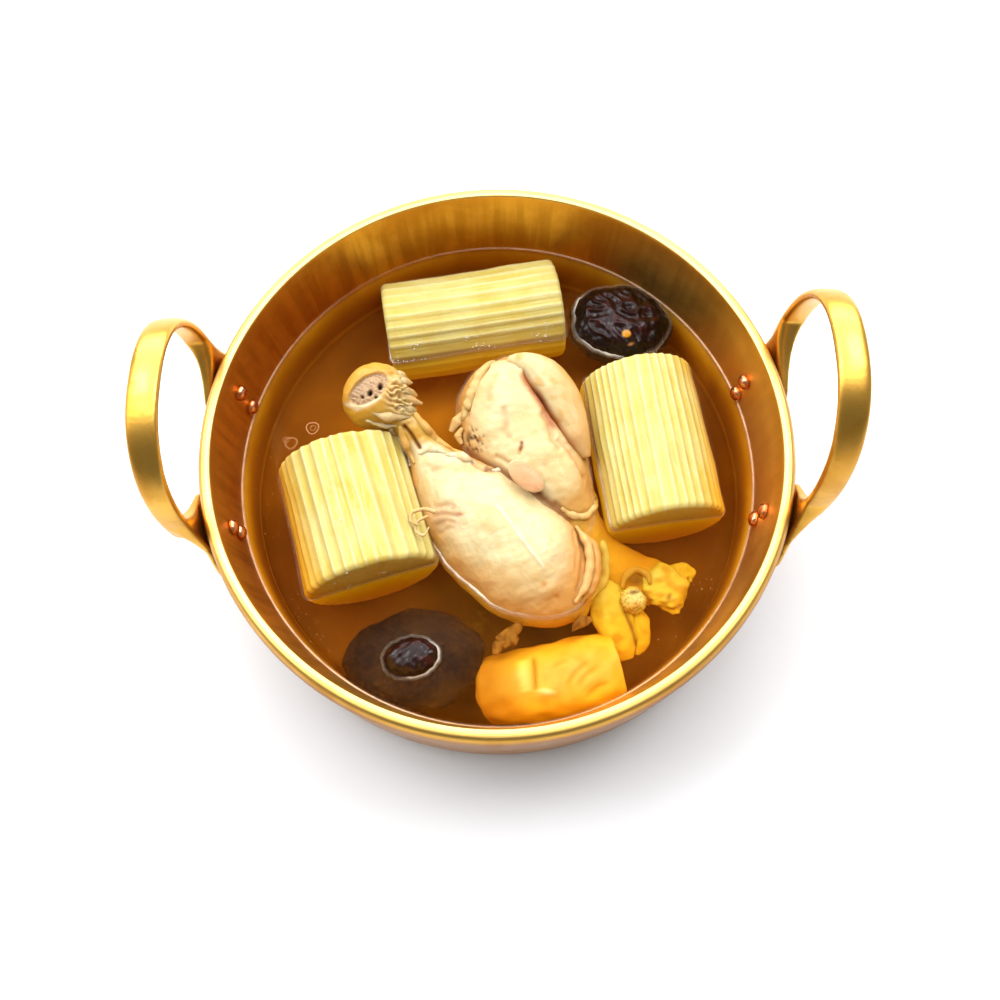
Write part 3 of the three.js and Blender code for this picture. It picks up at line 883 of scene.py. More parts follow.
def clear_of_wall(points):
    """Pushes points out of the pot's wall and shoulder, to a small gap."""
    out = np.hypot(points[:, 0], points[:, 1])
    above = np.clip(points[:, 2] - (RIM_HEIGHT - SHOULDER), 0, SHOULDER) / SHOULDER
    inner = np.where(points[:, 2] > RIM_HEIGHT + RIM_CLEARANCE, 0, np.where(
        above > 0, RIM_OUTER + (WALL - RIM_OUTER) * np.sqrt(1 - above ** 2) + RIM_CLEARANCE,
        WALL + GAP))
    push = np.maximum(inner / out, 1)
    return np.stack([points[:, 0] * push, points[:, 1] * push, points[:, 2]], -1)


CUBE = 0.62


def melted(piece):
    """The piece's shells as one mesh: remeshed in small cubes, and then smoothed."""
    melt = piece.modifiers.new("melt", "REMESH")
    melt.mode, melt.voxel_size, melt.use_smooth_shade = "VOXEL", CUBE * MM, True
    ease = piece.modifiers.new("ease", "SMOOTH")
    ease.factor, ease.iterations = 0.5, 9
    bpy.context.view_layer.update()
    mesh = bpy.data.meshes.new_from_object(
        piece.evaluated_get(bpy.context.evaluated_depsgraph_get()))
    piece.modifiers.clear()
    return mesh


for side, (turn, top, shift) in LOOPS.items():
    shells = [shell(loop_bar(top, shift)), shell(foot(1, shift)), shell(foot(-1, shift))]
    piece = add_piece(f"handle_loop_{side}", shells, BRASS_HANDLE, [f"handle_{side}"])
    done = melted(piece)
    points = np.empty(len(done.vertices) * 3, np.float32)
    done.vertices.foreach_get("co", points)
    points = clear_of_wall(points.reshape(-1, 3) / MM) * [turn, turn, 1]
    done.vertices.foreach_set("co", (points * MM).astype(np.float32).ravel())
    done.polygons.foreach_set("use_smooth", np.ones(len(done.polygons), bool))
    done.materials.clear()
    done.materials.append(BRASS_HANDLE.material)
    done.update()
    piece.data = done
    print("handle", side, len(done.vertices), "points, melted together")

# %% [markdown]
# ## Gourd
#
# The gourd is peeled and cut into lengths, and stewing leaves its flesh fluted like a column. A
# length is a ring of flutes carried along a straight line, with soft cut edges. The flutes are
# not alike: each has its own depth, finer lines run beside them, and the length bows and sags a
# little. The ridges between them are painted pale as a highlight, and the flutes and the finer
# grooves a deeper yellow as shade.

# %% Gourd lengths
def gourd(start, end, radius, ribs, crown, seed, depth, fine, twist):
    """Radius = r - flute depth * |sin(ribs * angle / 2)| to the power 1.2, + finer ribs + soft
    noise. The cut ends bulge by crown, and the flutes turn by twist from end to end."""
    height, edge, rows, steps = FLOOR + GAP + radius, 2.4, 92, 420
    start, end = np.array([*start, height]), np.array([*end, height])
    along = (end - start) / np.linalg.norm(end - start)
    side, length = np.cross(along, [0, 0, 1]), np.linalg.norm(end - start)
    a = circle(steps)
    bend = bow(0, 0, 1, 1, 0, 90, 9)
    cap = np.concatenate([[0.02, 0.4, 0.75], 1 - 0.09 * (1 - bend[1:, 1])])
    scale = np.concatenate([cap, np.ones(rows), cap[::-1]])
    at = np.concatenate([[0.5, 0.35, 0.15], edge * (1 - bend[1:, 0]) * 0.9,
                         np.linspace(edge, length - edge, rows),
                         length - edge * (1 - bend[::-1, 0])[:-1] * 0.9,
                         [length + crown * 0.3, length + crown * 0.8, length + crown]])
    at, scale = at[:, None], scale[:, None]
    wander = a + 0.05 * np.sin(3 * a + seed) + 0.03 * np.sin(7 * a + 2 * seed) + twist * at / length
    wave = np.abs(np.sin(ribs * wander / 2))
    number = np.floor(ribs * wander / (2 * np.pi))
    uneven = 0.7 + 0.3 * np.sin(2.3 * number * 1.7 + seed) + 0.25 * np.sin(number * 4.1)
    small = np.abs(np.sin(ribs * wander * 1.5 + 0.6))
    point = np.stack([at / 7 + 0 * a, np.cos(a) * radius / 5 + 0 * at,
                      np.sin(a) * radius / 5 + 0 * at], -1)
    grain = ripple(point, 3.0, seed)
    rib = -depth * uneven * wave ** 1.2 + fine * (small - 0.6) * (0.6 + 0.4 * grain)
    r = scale * (radius + rib + 0.14 * grain) - 0.25 * ripple(point * 0.25, 2.5, seed + 3)
    sway = 0.5 * np.sin(np.pi * at / length)
    grid = (start + along * at[..., None] + side * (r * np.cos(a))[..., None]
            + np.array([0, 0, 1]) * (r * np.sin(a) - sway)[..., None])
    return grid, wave, small, scale, grain, at / length


def gourd_tone(grid, wave, small, scale, grain, along, flank=None):
    """Painted highlight on the pale ridges and painted shade in the deeper yellow flutes and fine
    grooves, deeper still on the cut ends, with long fibres.
    """
    fibres = ripple(np.stack([grid[..., 0] * 0 + along * 3, small * 3, wave * 4], -1), 2.0, 5)
    patches = ripple(grid, 17, 6)
    # Painted shade: deeper yellow in the flutes and the fine grooves. Painted highlight: pale
    # ridges.
    tone = paint(grid, "#F7E794",
                 (0.75 * smooth(wave, 0.15, 0.8) * (0.7 + 0.3 * patches), "#E9CF54"),
                 (0.3 * (1 - smooth(small, 0.0, 0.5)), "#E2CB50"),
                 (0.7 * (1 - smooth(wave, 0.0, 0.22)), "#FFFAD2"),
                 (0.25 * smooth(grain, -0.2, 1.0), "#EFE48A"),
                 (0.25 * smooth(fibres, 0.2, 1.2), "#FFFBE0"),
                 (0.6 * (1 - smooth(scale, 0.86, 0.95)), "#F3E07A"),
                 (0.8 * smooth(-(grid[..., 2] - 37) / 6, 0, 1), "#DDB440"))
    if flank:
        tone = over(tone, (0.9 * (1 - beside(picture(grid), flank, 16)), "#FFBE14"))
    return tone


GOURDS = {   # start, end, radius, ribs, crown, seed, flute depth, fine ribs, twist
    "gourd_back": ((-42.8, 60.6), (25, 71), 19.6, 27, 1, 3, 0.55, 0.1, 0.02),
    "gourd_right": ((61.8, -23), (53.9, 37.5), 22, 40, 4, 11, 0.8, 0.06, 0.04),
    "gourd_left": ((-44.5, -43), (-58.5, 5), 24.3, 34, 3, 7, 0.95, 0.08, -0.05)}
FLANKS = {"gourd_left": [(345, 640), (318, 585), (300, 520), (285, 455)],
          "gourd_right": [(672, 340), (702, 400), (710, 470), (712, 560)]}
made = {}
for name, sizes in GOURDS.items():
    made[name], *rest = gourd(*sizes)
    tone = gourd_tone(made[name], *rest, flank=FLANKS.get(name))
    add_piece(f"{name}_length", [shell(made[name])], GOURD, [name], tone=spread(tone))

# %% [markdown]
# ## Skin, strands and torn pieces
#
# Cooked chicken has parts that no push of one surface can give: tendons that lie on the skin, and
# torn ends and flaps. Each is a small closed tube of its own. Its line is given by pixels, and it
# lies either on the skin below those pixels or at a height that is given with them.

# %% Strands and torn pieces
FRINGE, TENDON, PALE_SKIN, DEEP_SKIN, GOLD = "#E9C68C", "#F0B860", "#FBE6BC", "#E9A850", "#FFE6A0"


def on_skin(grid, pixels):
    """The points on the near side of a grid that fall on the pixels."""
    near = ((EYE - grid) * outwards(grid)).sum(-1).ravel() > 0
    return nearest(grid.reshape(-1, 3)[near], picture(grid).reshape(-1, 2)[near], pixels)


def nearest(points, places, pixels):
    """For each pixel, the point whose place in the picture is nearest."""
    return np.array([points[((places - p) ** 2).sum(-1).argmin()] for p in pixels])


def strand(grid, path, widths, colour, thick=0.8, height=None):
    """A thin soft tube along a path of pixels: on the skin of a grid, or at a given height."""
    steps = np.linspace(0, 1, 4 * len(path) - 3)
    pixels = curve(path, steps)
    wide = np.interp(steps, np.linspace(0, 1, len(widths)), widths)
    if height is None:
        spine = on_skin(grid, pixels)
    else:
        height = np.atleast_1d(height)
        spine = at_height(pixels, np.interp(steps, np.linspace(0, 1, len(height)), height))
    tube = limb(np.column_stack([spine, wide, wide * thick]), 44, 20)
    way = outwards(tube)
    tube += way * (0.14 * min(wide.max(), 1.6) * ripple(tube, 6.0, len(path)))[..., None]
    # painted shade: warmer orange on the sides that face down
    return tube, paint(tube, colour, (0.4 * smooth(ripple(tube, 5, 3), 0, 1), "#E8B870"),
                       (0.6 * smooth(-way[..., 2], -0.7, 0.1), "#DE9A48"))


def pixel_limb(stations, rows, around):
    """A limb whose stations are [across, down, height, half width, half height], the first two
    in pixels."""
    stations = np.array(stations, float)
    stations[:, :3] = at_height(stations[:, :2], stations[:, 2])
    return limb(stations, rows, around)


def torn(stations, seed, tear, rows=56, around=52):
    """The same, with a torn, wavy skin."""
    grid = pixel_limb(stations, rows, around)
    waves = 0.9 * ripple(grid, 7, seed) + 0.45 * ripple(grid, 3.2, seed + 1)
    return grid + outwards(grid) * (tear * waves)[..., None]


def skinned(grid, colour=GOLD, *layers):
    """A torn piece with its colours: its own, a deeper mottle, painted shade in orange on the sides
    that face down, and any more layers.
    """
    return grid, paint(grid, colour, (0.6 * smooth(ripple(grid, 6, 63), 0.2, 1.0), "#E8AE48"),
                       (0.75 * smooth(-outwards(grid)[..., 2], -0.75, -0.1), "#DB9438"), *layers)


def dress(name, finish, replaced, parts):
    """One piece of any number of grids, each with its colours."""
    add_piece(name, [shell(grid) for grid, _ in parts], finish, replaced,
              tone=np.concatenate([spread(tone) for _, tone in parts]))


print("strand helpers ready")

# %% [markdown]
# ## The drumstick
#
# A drumstick is a tube that follows its bone: a round knuckle, a thin shank and a fat drop of
# meat. The knuckle's skin was cut, so it ends in a grey oval of bone with two dark holes and a
# ragged collar of sinew. The meat's skin is tight and smooth, with a straight pale seam along it
# and small creases where it is pulled towards the shank.

# %% Drumstick
DRUMSTICK = [      # x, y, z, half width, half height
    [-52.5, 29, 43, 6, 6], [-49.5, 27, 43, 11, 9], [-44, 23.5, 42, 13, 10],
    [-37.5, 18.5, 40, 9.5, 8.5], [-32, 12.5, 38, 5.2, 5.5], [-28, 6.5, 35, 5.6, 6],
    [-21.5, -3, 31, 11.5, 12], [-12, -13.5, 27, 19.3, 18.3], [0, -25.5, 24.5, 22.6, 20.8],
    [11, -36, 24, 22.5, 20.5], [20.5, -45, 23, 18, 16.5], [27.5, -52, 22.5, 10.5, 10],
    [30.5, -55.5, 22.5, 2, 2]]
BONE_FACE = (368.5, 389), (27, 15), -36
CUT, PINCH = [(402, 424), (411, 434), (421, 450)], [(484, 466), (490, 470), (496, 470)]
CREASES = [        # path, width, depth
    ([(432, 508), (446, 505), (458, 507)], 2.6, 0.5),
    ([(430, 516), (444, 514), (460, 517)], 2.4, 0.5),
    ([(434, 526), (446, 521), (457, 523)], 2.6, 0.45),
    ([(438, 535), (449, 528), (456, 529)], 2.4, 0.3),
    ([(430, 474), (442, 468), (456, 464)], 3.2, 0.5),
    ([(452, 470), (466, 467), (480, 471)], 3.0, 0.5),
    ([(470, 461), (480, 466), (489, 470)], 2.2, 1.1),
    ([(579, 531), (583, 556), (581, 580), (575, 597)], 2.2, 0.8),
    ([(572, 528), (577, 548), (576, 570)], 2.0, 0.4), (CUT, 2.0, 1.5)]


def drumstick():
    """The limb, pushed in and out along its skin by the folds that the picture shows."""
    grid = limb(DRUMSTICK, 300, 260)
    way = outwards(grid)
    px, front = picture(grid), facing(grid, way)
    across, down = px[..., 0], px[..., 1]
    seam = fold(px, [(494, 501), (520, 536), (548, 573)], 1.3)
    creases = folds(px, CREASES)
    swells = spots(px, (1.1, (433, 460), (13, 9), 20), (0.8, (463, 460), (20, 7), 12),
                   (0.5, (500, 520), (45, 30), 40), (0.5, (450, 492), (20, 14), -30),
                   (0.8, (541, 590), (30, 12), -10))
    bone = spot(px, *BONE_FACE)
    sinew = spot(px, (402, 397), (21, 34), -24) * (1 - bone ** 0.3)
    stripes = np.sin((down - 0.2 * across + 2.5 * ripple(grid, 5, 23)) * 0.95)
    ragged = stripes + 0.4 * ripple(grid, 2.2, 22)
    hollow = smooth(bone, 0.03, 0.14)
    pits = spots(px, (1, (369.5, 392.5), (3.6, 5), 20), (1, (381, 385), (4, 5.2), 10),
                 (0.6, (361, 397), (3, 3)), (0.6, (376, 397), (2.6, 2.6)))
    push = (0.45 * seam - creases + swells + 0.75 * sinew * ragged
            - 1.2 * hollow - 2.2 * np.clip(pits, 0, 1) + 0.2 * hollow * ripple(grid, 1.3, 5))
    skin = 0.16 * ripple(grid, 9, 1) + 0.06 * ripple(grid, 3.2, 2)
    grid = grid + way * (push * front + skin)[..., None]
    edge = fold(px, [(347, 404), (357, 409), (368, 405), (380, 398)], 2.2, 0)
    return grid, paint(
        grid, "#FBEAB6",
        # painted shade: warmer orange on the sides that face down, at the right end and low on the
        # front
        (0.9 * smooth(-way[..., 2], -0.93, -0.45), "#F0AA50"),
        (0.55 * smooth(ripple(grid, 16, 8), 0.1, 1.1), "#F9DDA0"),
        (0.85 * smooth(across + down * 0.45, 795, 842) * front, "#EFA84A"),
        (0.5 * smooth(down - 0.3 * across, 408, 432) * front, "#F3BE72"),
        (0.5 * spot(px, (448, 515), (26, 22)) ** 0.7, "#F2C09C"),
        # painted shade in the creases
        (0.7 * np.clip(creases, 0, 1) * front, "#E3A468"),
        # the seam's near white is partly its pale colour and partly a painted highlight on its
        # ridge
        (0.85 * seam * front, "#FFFBE4"),
        (spots(px, (0.7, (460, 514), (5, 3)), (0.6, (453, 508), (3, 2))), "#D8704A"),
        (spots(px, (0.6, (544, 583), (5, 4)), (0.7, (557, 596), (4, 4))), "#E0902E"),
        (smooth(-(grid[..., 2] - 33.5) / 2.5, 0, 1) * 0.4, "#F2C880"),
        (smooth(-(down - 447) / 10, 0, 1) * smooth(-(across - 450), 0, 12), "#E8B24A"),
        (0.8 * spot(px, (352, 412), (26, 18), 35) ** 0.6, "#E2A62C"),
        (0.9 * sinew ** 0.5, "#E3BE7C"),
        (0.6 * sinew ** 0.5 * smooth(ragged, 0.1, 1.0), "#F7E2B0"),
        # painted shade: darker brown in the sunk stripes of the sinew
        (0.7 * sinew ** 0.5 * smooth(-ragged, 0.2, 1.1), "#B0762C"),
        (0.9 * hollow, "#D9B48E"), (0.5 * hollow * smooth(ripple(grid, 1.6, 6), 0, 1), "#A88468"),
        (0.8 * edge * front, "#FBE9C4"), (np.clip(pits * 1.6, 0, 1) * front, "#3A2014"),
        # painted shade in the cut and in the pinch, both deep creases
        (0.9 * fold(px, CUT, 2.2) * front, "#8E4A12"),
        (0.8 * fold(px, PINCH, 3) * front, "#7A3C18"))


STRANDS = [        # path, widths, colour, share of the width that it is thick, height if any
    ([(386, 377), (399, 375), (407, 378)], [0.5, 1.3, 1.7, 1.5, 0.4], FRINGE, 0.8, [46, 45, 43]),
    ([(392, 383), (404, 382), (413, 383)], [0.5, 1.4, 1.8, 1.5, 0.4], FRINGE, 0.8, [47, 45.5, 43]),
    ([(390, 391), (406, 391), (417, 396)], [0.6, 1.6, 2.0, 1.8, 0.5], "#DDB478", 0.8,
     [47.5, 45, 42]),
    ([(386, 399), (405, 398), (422, 404)], [0.6, 1.4, 1.7, 1.6, 0.5], "#DDB070", 0.8, [48, 45, 42]),
    ([(384, 406), (402, 408), (416, 411)], [0.6, 1.7, 2.1, 1.7, 0.5], FRINGE, 0.8, [48, 45, 42.5]),
    ([(372, 413), (390, 417), (409, 417)], [0.5, 1.5, 1.9, 1.6, 0.4], FRINGE, 0.8,
     [48, 46.5, 43.5]),
    ([(366, 420), (382, 425), (398, 426)], [0.4, 1.2, 0.4], "#F3D8A4", 0.7),
    ([(391, 428), (400, 446), (410, 466)], [0.7, 1.2, 0.5], "#FFF0CC", 1.0),
    ([(399, 426), (407, 446), (415, 464)], [0.9, 1.7, 0.6], TENDON, 1.0),
    ([(414, 413), (424, 427), (436, 440), (452, 448), (468, 454)], [0.9, 1.9, 1.7, 1.2, 0.4],
     TENDON, 1.0),
    ([(419, 454), (431, 449), (446, 453)], [0.4, 1.9, 0.4], PALE_SKIN),
    ([(446, 455), (460, 457), (476, 463)], [0.4, 2.0, 0.4], PALE_SKIN),
    ([(492, 470), (503, 471), (516, 480)], [0.4, 1.5, 0.3], PALE_SKIN),
    ([(436, 512), (424, 509), (412, 513), (411, 521), (419, 525)], [0.8, 0.8, 0.6, 0.5, 0.3],
     FRINGE, 1, 45),
    ([(428, 516), (417, 522), (416, 531), (424, 535), (429, 527)], [0.5, 0.6, 0.5, 0.5, 0.3],
     FRINGE, 1, 44),
    ([(581, 531), (592, 546), (596, 566), (591, 588), (580, 602)], [0.6, 2.0, 2.3, 2.0, 0.6],
     DEEP_SKIN, 1, 31.5),
    ([(576, 526), (586, 542), (590, 562), (586, 584), (575, 603)], [0.5, 1.6, 1.8, 1.6, 0.5],
     "#F4C078", 1, 34),
    ([(548, 611), (562, 611), (576, 606), (588, 598)], [0.4, 1.3, 1.6, 0.5], "#C98838", 0.7, 29.5)]
made["drumstick"], tone = drumstick()
drum = made["drumstick"]
dress("drumstick_meat", SKIN, ["drumstick"],
      [(drum, tone), *(strand(drum, *row) for row in STRANDS)])

# %% [markdown]
# ## The thigh
#
# The thigh is a folded piece: a broad lobe with a deep slit beside it, a second lobe that curls
# round on the right, an oval flap of skin, and a dark patch of small veins at its left. Its joint
# hangs under the broth, with a pale knob of cartilage and torn skin round it.

# %% Thigh
THIGH = [          # x, y, z, half width, half height
    [4.5, 44.5, 28, 3, 3], [5, 40.5, 28, 13, 10], [6, 31, 28, 20.5, 15],
    [8, 18, 27, 23, 17], [12.5, 5, 26, 22, 17.5], [18, -6, 25, 18.5, 17],
    [23, -16, 23, 14.5, 15], [29, -25, 20.5, 11.5, 11.5], [35.5, -33, 19.5, 10.5, 8.5],
    [42.5, -38, 19.5, 10.5, 7.5], [50, -41, 20, 9.5, 6], [58, -43, 21, 8, 4.5],
    [63, -43.5, 21, 3, 2]]
SLIT = [(522, 369), (530, 380), (541, 395), (551, 411), (561, 424), (571, 437), (581, 449)]
HEM = [(492, 361), (478, 381), (470, 402), (466, 421)]
BLOOD = [(508, 468), (520, 478), (532, 488), (545, 496)]
# The path below the lobes, along which a band of shade is painted dark brown.
UNDER_SHADE = [(462, 446), (480, 461), (499, 470), (522, 484), (545, 499), (575, 523)]
CREASES = [        # path, width, depth
    ([(521, 441), (522, 447), (518, 456)], 1.3, 1.1),
    ([(503, 405), (507, 420), (505, 432), (512, 440)], 3.5, 0.6),
    ([(497, 372), (490, 388), (487, 404)], 4.0, 0.4),
    ([(540, 410), (549, 424), (553, 440), (562, 452)], 3.2, 0.7),
    ([(556, 436), (566, 447), (576, 462), (586, 484)], 2.5, 0.6),
    ([(552, 500), (566, 512), (580, 515), (592, 510)], 2.4, 0.8),
    ([(514, 466), (503, 460), (493, 455)], 2.5, 0.6), (HEM, 1.5, 1.3)]


def thigh():
    """The limb with its slit, flap and veins, by the same pushes as the drumstick."""
    grid = limb(THIGH, 270, 250)
    way = outwards(grid)
    px, front = picture(grid), facing(grid, way)
    across, down = px[..., 0], px[..., 1]
    slit = fold(px, SLIT, 2.6, 0.1)
    left = 1 - beside(px, HEM[::-1], 1.5)
    veins = smooth(ripple(grid, 2.6, 31), 0.1, 0.9) * spot(px, (475, 440), (15, 20), -38)
    creases = folds(px, CREASES)
    swells = spots(px, (1.4, (505, 392), (32, 40), 12), (1.3, (560, 395), (18, 42), -28),
                   (0.9, (543, 452), (22, 16), 20), (1.0, (567, 478), (22, 34), -25),
                   (0.8, (488, 425), (16, 18)))
    lobe = (1 - beside(px, SLIT, 3.5)) * smooth(down, 352, 372) * (1 - smooth(down, 440, 462))
    push = swells + 2.0 * lobe - 2.6 * slit - creases - 0.6 * veins
    skin = 0.2 * ripple(grid, 11, 41) + 0.07 * ripple(grid, 3.6, 42)
    grid = grid + way * (push * front + skin)[..., None]
    return grid, paint(
        grid, "#FAE0A6",
        # painted shade: warmer orange on the sides that face down and on the right
        (0.9 * smooth(-way[..., 2], -0.93, -0.45), "#EFA448"),
        (0.6 * smooth(ripple(grid, 14, 43), 0, 1), "#F6D08C"),
        (0.7 * smooth(across + 0.3 * down, 700, 745), "#F2B45C"),
        # painted highlight: paler in the middle of the main lobe
        (0.55 * spot(px, (504, 395), (26, 36), 12) ** 0.6, "#FDEDC0"),
        # painted shade in the creases and the slit, darkest in a hole in the slit
        (0.6 * np.clip(creases, 0, 1) * front, "#D98E4A"),
        (0.7 * fold(px, SLIT, 5.5, 0.05) * front, "#E89A54"),
        (fold(px, SLIT, 2.6, 0.05) * front, "#B0582C"),
        (0.9 * spot(px, (546, 397), (4, 12), -30) * front, "#6E3428"),
        (0.9 * fold(px, BLOOD, 2.4) * front, "#8E4A26"),
        # painted shade: orange low on the right, and on the flank left of the hem
        (0.75 * smooth(down + 0.5 * across, 770, 800), "#F0B45A"),
        (0.75 * left * front * smooth(-(across - 478), 0, 6), "#E3A24E"),
        (np.clip(1.5 * veins, 0, 1), "#7A5A3A"),
        (spots(px, (0.9, (479, 440), (4, 4)), (0.8, (469, 436), (5, 9))), "#6E5138"),
        (0.8 * spot(px, (480, 439.5), (3.2, 3)), "#D87A1E"),
        (fold(px, [(522, 442), (520, 449)], 1.3, 0) * front, "#A03A1C"),
        # painted shade: deeper gold low down
        (0.8 * smooth(down, 510, 535), "#F5B830"),
        # painted shade: a dark band under the lobes, beside the slit, and in the hollow above the
        # knob
        (0.85 * fold(px, UNDER_SHADE, 5.5, 0.05), "#8A4A1C"),
        (0.8 * fold(px, [(518, 372), (530, 388), (545, 411), (558, 432)], 3.5) * front, "#B8602A"),
        (0.9 * spot(px, (637, 581), (15, 10)), "#8A5A1C"))


def oval_flap():
    """The oval flap of skin: a flat tube whose width follows the root of 1 - u squared."""
    u = np.linspace(-0.985, 0.985, 15)
    round_off = np.sqrt(1 - u ** 2)
    grid = pixel_limb(np.column_stack([526 + 16 * u, 476 + 14 * u, 44.9 - 1.2 * u, 4.4 * round_off,
                                       1.1 * round_off]), 60, 60)
    # rim: the flap's edge, painted paler as a highlight
    rim = 1 - smooth(spot(picture(grid), (526, 476), (24, 14), 41), 0.02, 0.12)
    return grid, paint(grid, "#F2BE8C", (0.8 * rim, "#FCE3C0"),
                       (0.4 * smooth(ripple(grid, 5, 9), 0, 1), "#E9A878"))


TORN = {           # stations as for pixel_limb, seed, how torn
    "tube": ([(509, 361, 38, 2, 2), (524, 363, 39.5, 4.4, 4), (543, 375, 40.5, 7, 5),
              (558, 394, 40, 7.4, 5.5), (569, 415, 39, 6.4, 5.5), (577, 437, 37.5, 5, 5),
              (586, 458, 35, 2, 2.5)], 57, 0.12),
    "knob": ([(625, 590, 25, 2, 2), (629, 595, 25, 4.4, 4), (634, 603, 25, 4.8, 4.4),
              (639, 611, 24, 2, 2)], 51, 0.25),
    "flap": ([(602, 568, 21, 4, 3), (607, 590, 22.5, 7.6, 3.8), (613, 616, 22, 7.4, 3.4),
              (622, 642, 20.5, 6.6, 3), (627, 660, 19.5, 2.6, 1.6)], 53, 0.3),
    "second": ([(636, 610, 21, 2, 1.6), (640, 624, 21, 3.6, 2.4), (640, 642, 20, 3.2, 2),
                (637, 655, 19, 1, 1)], 54, 0.25),
    "side": ([(640, 572, 21, 3, 2), (655, 580, 23, 7, 3.8), (668, 592, 23, 7.6, 3.6),
              (674, 606, 22, 4, 2.4), (676, 614, 22, 1, 1)], 55, 0.6),
    "tip": ([(666, 576, 22, 3, 2), (680, 572, 22.5, 3.2, 2), (690, 573, 22.5, 2, 1.4),
             (691, 582, 22, 0.8, 0.8)], 56, 0.5)}
STRANDS = [
    ([(494, 358), (481, 374), (474, 390), (467, 406), (463, 420)], [0.5, 1.8, 2.2, 1.8, 0.5],
     "#F0C880", 0.7),
    ([(466, 410), (457, 422), (451, 432)], [0.8, 2.2, 0.9], "#EDC27A", 0.8, [34, 33, 32]),
    ([(462, 428), (458, 436), (462, 444)], [0.6, 1.6, 0.6], "#EDC27A", 0.8, [34, 33, 32]),
    ([(558, 424), (565, 429), (573, 438)], [0.4, 1.4, 0.4], "#F7D49C"),
    ([(562, 508), (572, 516), (586, 515), (596, 503), (599, 490)], [0.5, 1.3, 1.4, 1.2, 0.5],
     "#F6C880", 0.9),
    ([(590, 530), (601, 544), (605, 564), (601, 584), (591, 600)], [0.8, 2.0, 2.0, 1.8, 0.6],
     "#FFE0A0", 1, 26),
    ([(622, 588), (625, 577), (637, 570), (648, 575), (650, 584)], [0.6, 1.2, 1.3, 1.2, 0.5],
     "#D9A850", 1, 27)]
made["thigh"], tone = thigh()
leg = made["thigh"]
tube, knob, flap, second, side_skin, tip = (torn(*row) for row in TORN.values())
knob += outwards(knob) * 0.2 * ripple(knob, 1.1, 52)[..., None]
tube_px, flap_px, side_px = (picture(grid) for grid in (tube, flap, side_skin))
dress("thigh_meat", SKIN, ["thigh"], [
    (leg, tone), oval_flap(),
    # painted shade on the tube: along the slit, in the hole in it, and orange on its right
    skinned(tube, "#F8DCA4",
            (0.85 * fold(tube_px, [(518, 369), (532, 388), (548, 411), (562, 433), (580, 456)],
                         4.5), "#B8602A"),
            (0.9 * spot(tube_px, (540, 398), (6, 16), -32), "#7A3424"),
            (0.7 * smooth(tube_px[..., 0] - 0.3 * tube_px[..., 1], 430, 456), "#F0B060")),
    # painted shadow: dark brown on the top of the knob, under the hollow above it
    skinned(knob, "#FFF4CC", (0.8 * smooth(ripple(knob, 1.3, 61), 0.3, 1.2), "#A88040"),
            (0.9 * spot(picture(knob), (634, 592), (9, 4), -10), "#7A4A14")),
    # painted shade in the flap's crease, and a painted highlight along its left edge
    skinned(flap, GOLD, (0.9 * fold(flap_px, [(622, 606), (631, 626), (638, 650)], 2.0), "#8A5A18"),
            (0.8 * fold(flap_px, [(602, 570), (603, 600), (610, 632)], 2.4), "#FFF2C4")),
    skinned(second),
    skinned(side_skin, GOLD, (0.9 * spot(side_px, (669, 597), (4, 7), 20), "#8A5212"),
            (0.8 * spot(side_px, (655, 575), (8, 7)), "#FFF4C8")),
    skinned(tip), *(strand(leg, *row) for row in STRANDS)])

# %% [markdown]
# ## Mushrooms
#
# A braised mushroom lies on its stalk side, so a dark, soft disc with a wavy edge shows, and its
# middle stands out of the broth as a glossy knob. One is nearly sunk; the other one's knob is
# large and deeply wrinkled, and a grey highlight is painted on the crest of each wrinkle.

# %% Mushroom caps
def mushroom(centre, half, turn, rows, wrinkle, seed):
    """Oval rings of a (share of the radius, height) outline, with a wavy edge and wrinkles."""
    rows = np.array(rows, float)
    fine = curve(np.column_stack([rows, rows[:, 0] * 0]), np.linspace(0, 1, 150))[:, :2]
    scale, height = np.maximum(fine[:, :1], 0.003), fine[:, 1:]
    a = circle(300)
    wave = 1 + scale * (0.025 * np.sin(5 * a + 1) + 0.015 * np.sin(9 * a)
                        + 0.008 * np.sin(17 * a + seed))
    x, y = half[0] * scale * wave * np.cos(a), half[1] * scale * wave * np.sin(a)
    x, y = swing(x, y, turn)
    grid = np.stack([x + centre[0], y + centre[1], height + 0 * a], -1)
    way = outwards(grid)
    worms = 1 - np.abs(ripple(grid, 6.5, seed, 20)) * 1.4
    push = wrinkle(scale + 0 * a) * np.clip(worms, -1, 1) + 0.12 * ripple(grid, 3, seed + 1)
    return grid + way * push[..., None], worms, scale + 0 * a


def mushroom_tone(grid, scale, knob, specks):
    """Near black, browner at the edge, with fine pale specks outside the redder knob, and a painted
    sheen of redder patches on the knob.
    """
    in_knob = 1 - smooth(scale, knob * 0.9, knob * 1.1)
    dust = smooth(ripple(grid, 1.1, 72, 22), 0.95, 1.25) * smooth(scale, knob, knob + 0.1)
    # painted sheen: redder patches on the knob
    painted_sheen = (1 - smooth(scale, knob * 0.9, knob)) * smooth(ripple(grid, 5, 73), 0, 1)
    return paint(grid, "#150604", (0.5 * smooth(ripple(grid, 9, 71), 0, 1), "#220C06"),
                 (0.7 * smooth(scale, 0.8, 0.97), "#2E130A"), (specks * dust, "#8A5E3A"),
                 (0.9 * in_knob, "#240906"), (0.6 * painted_sheen, "#44120A"))


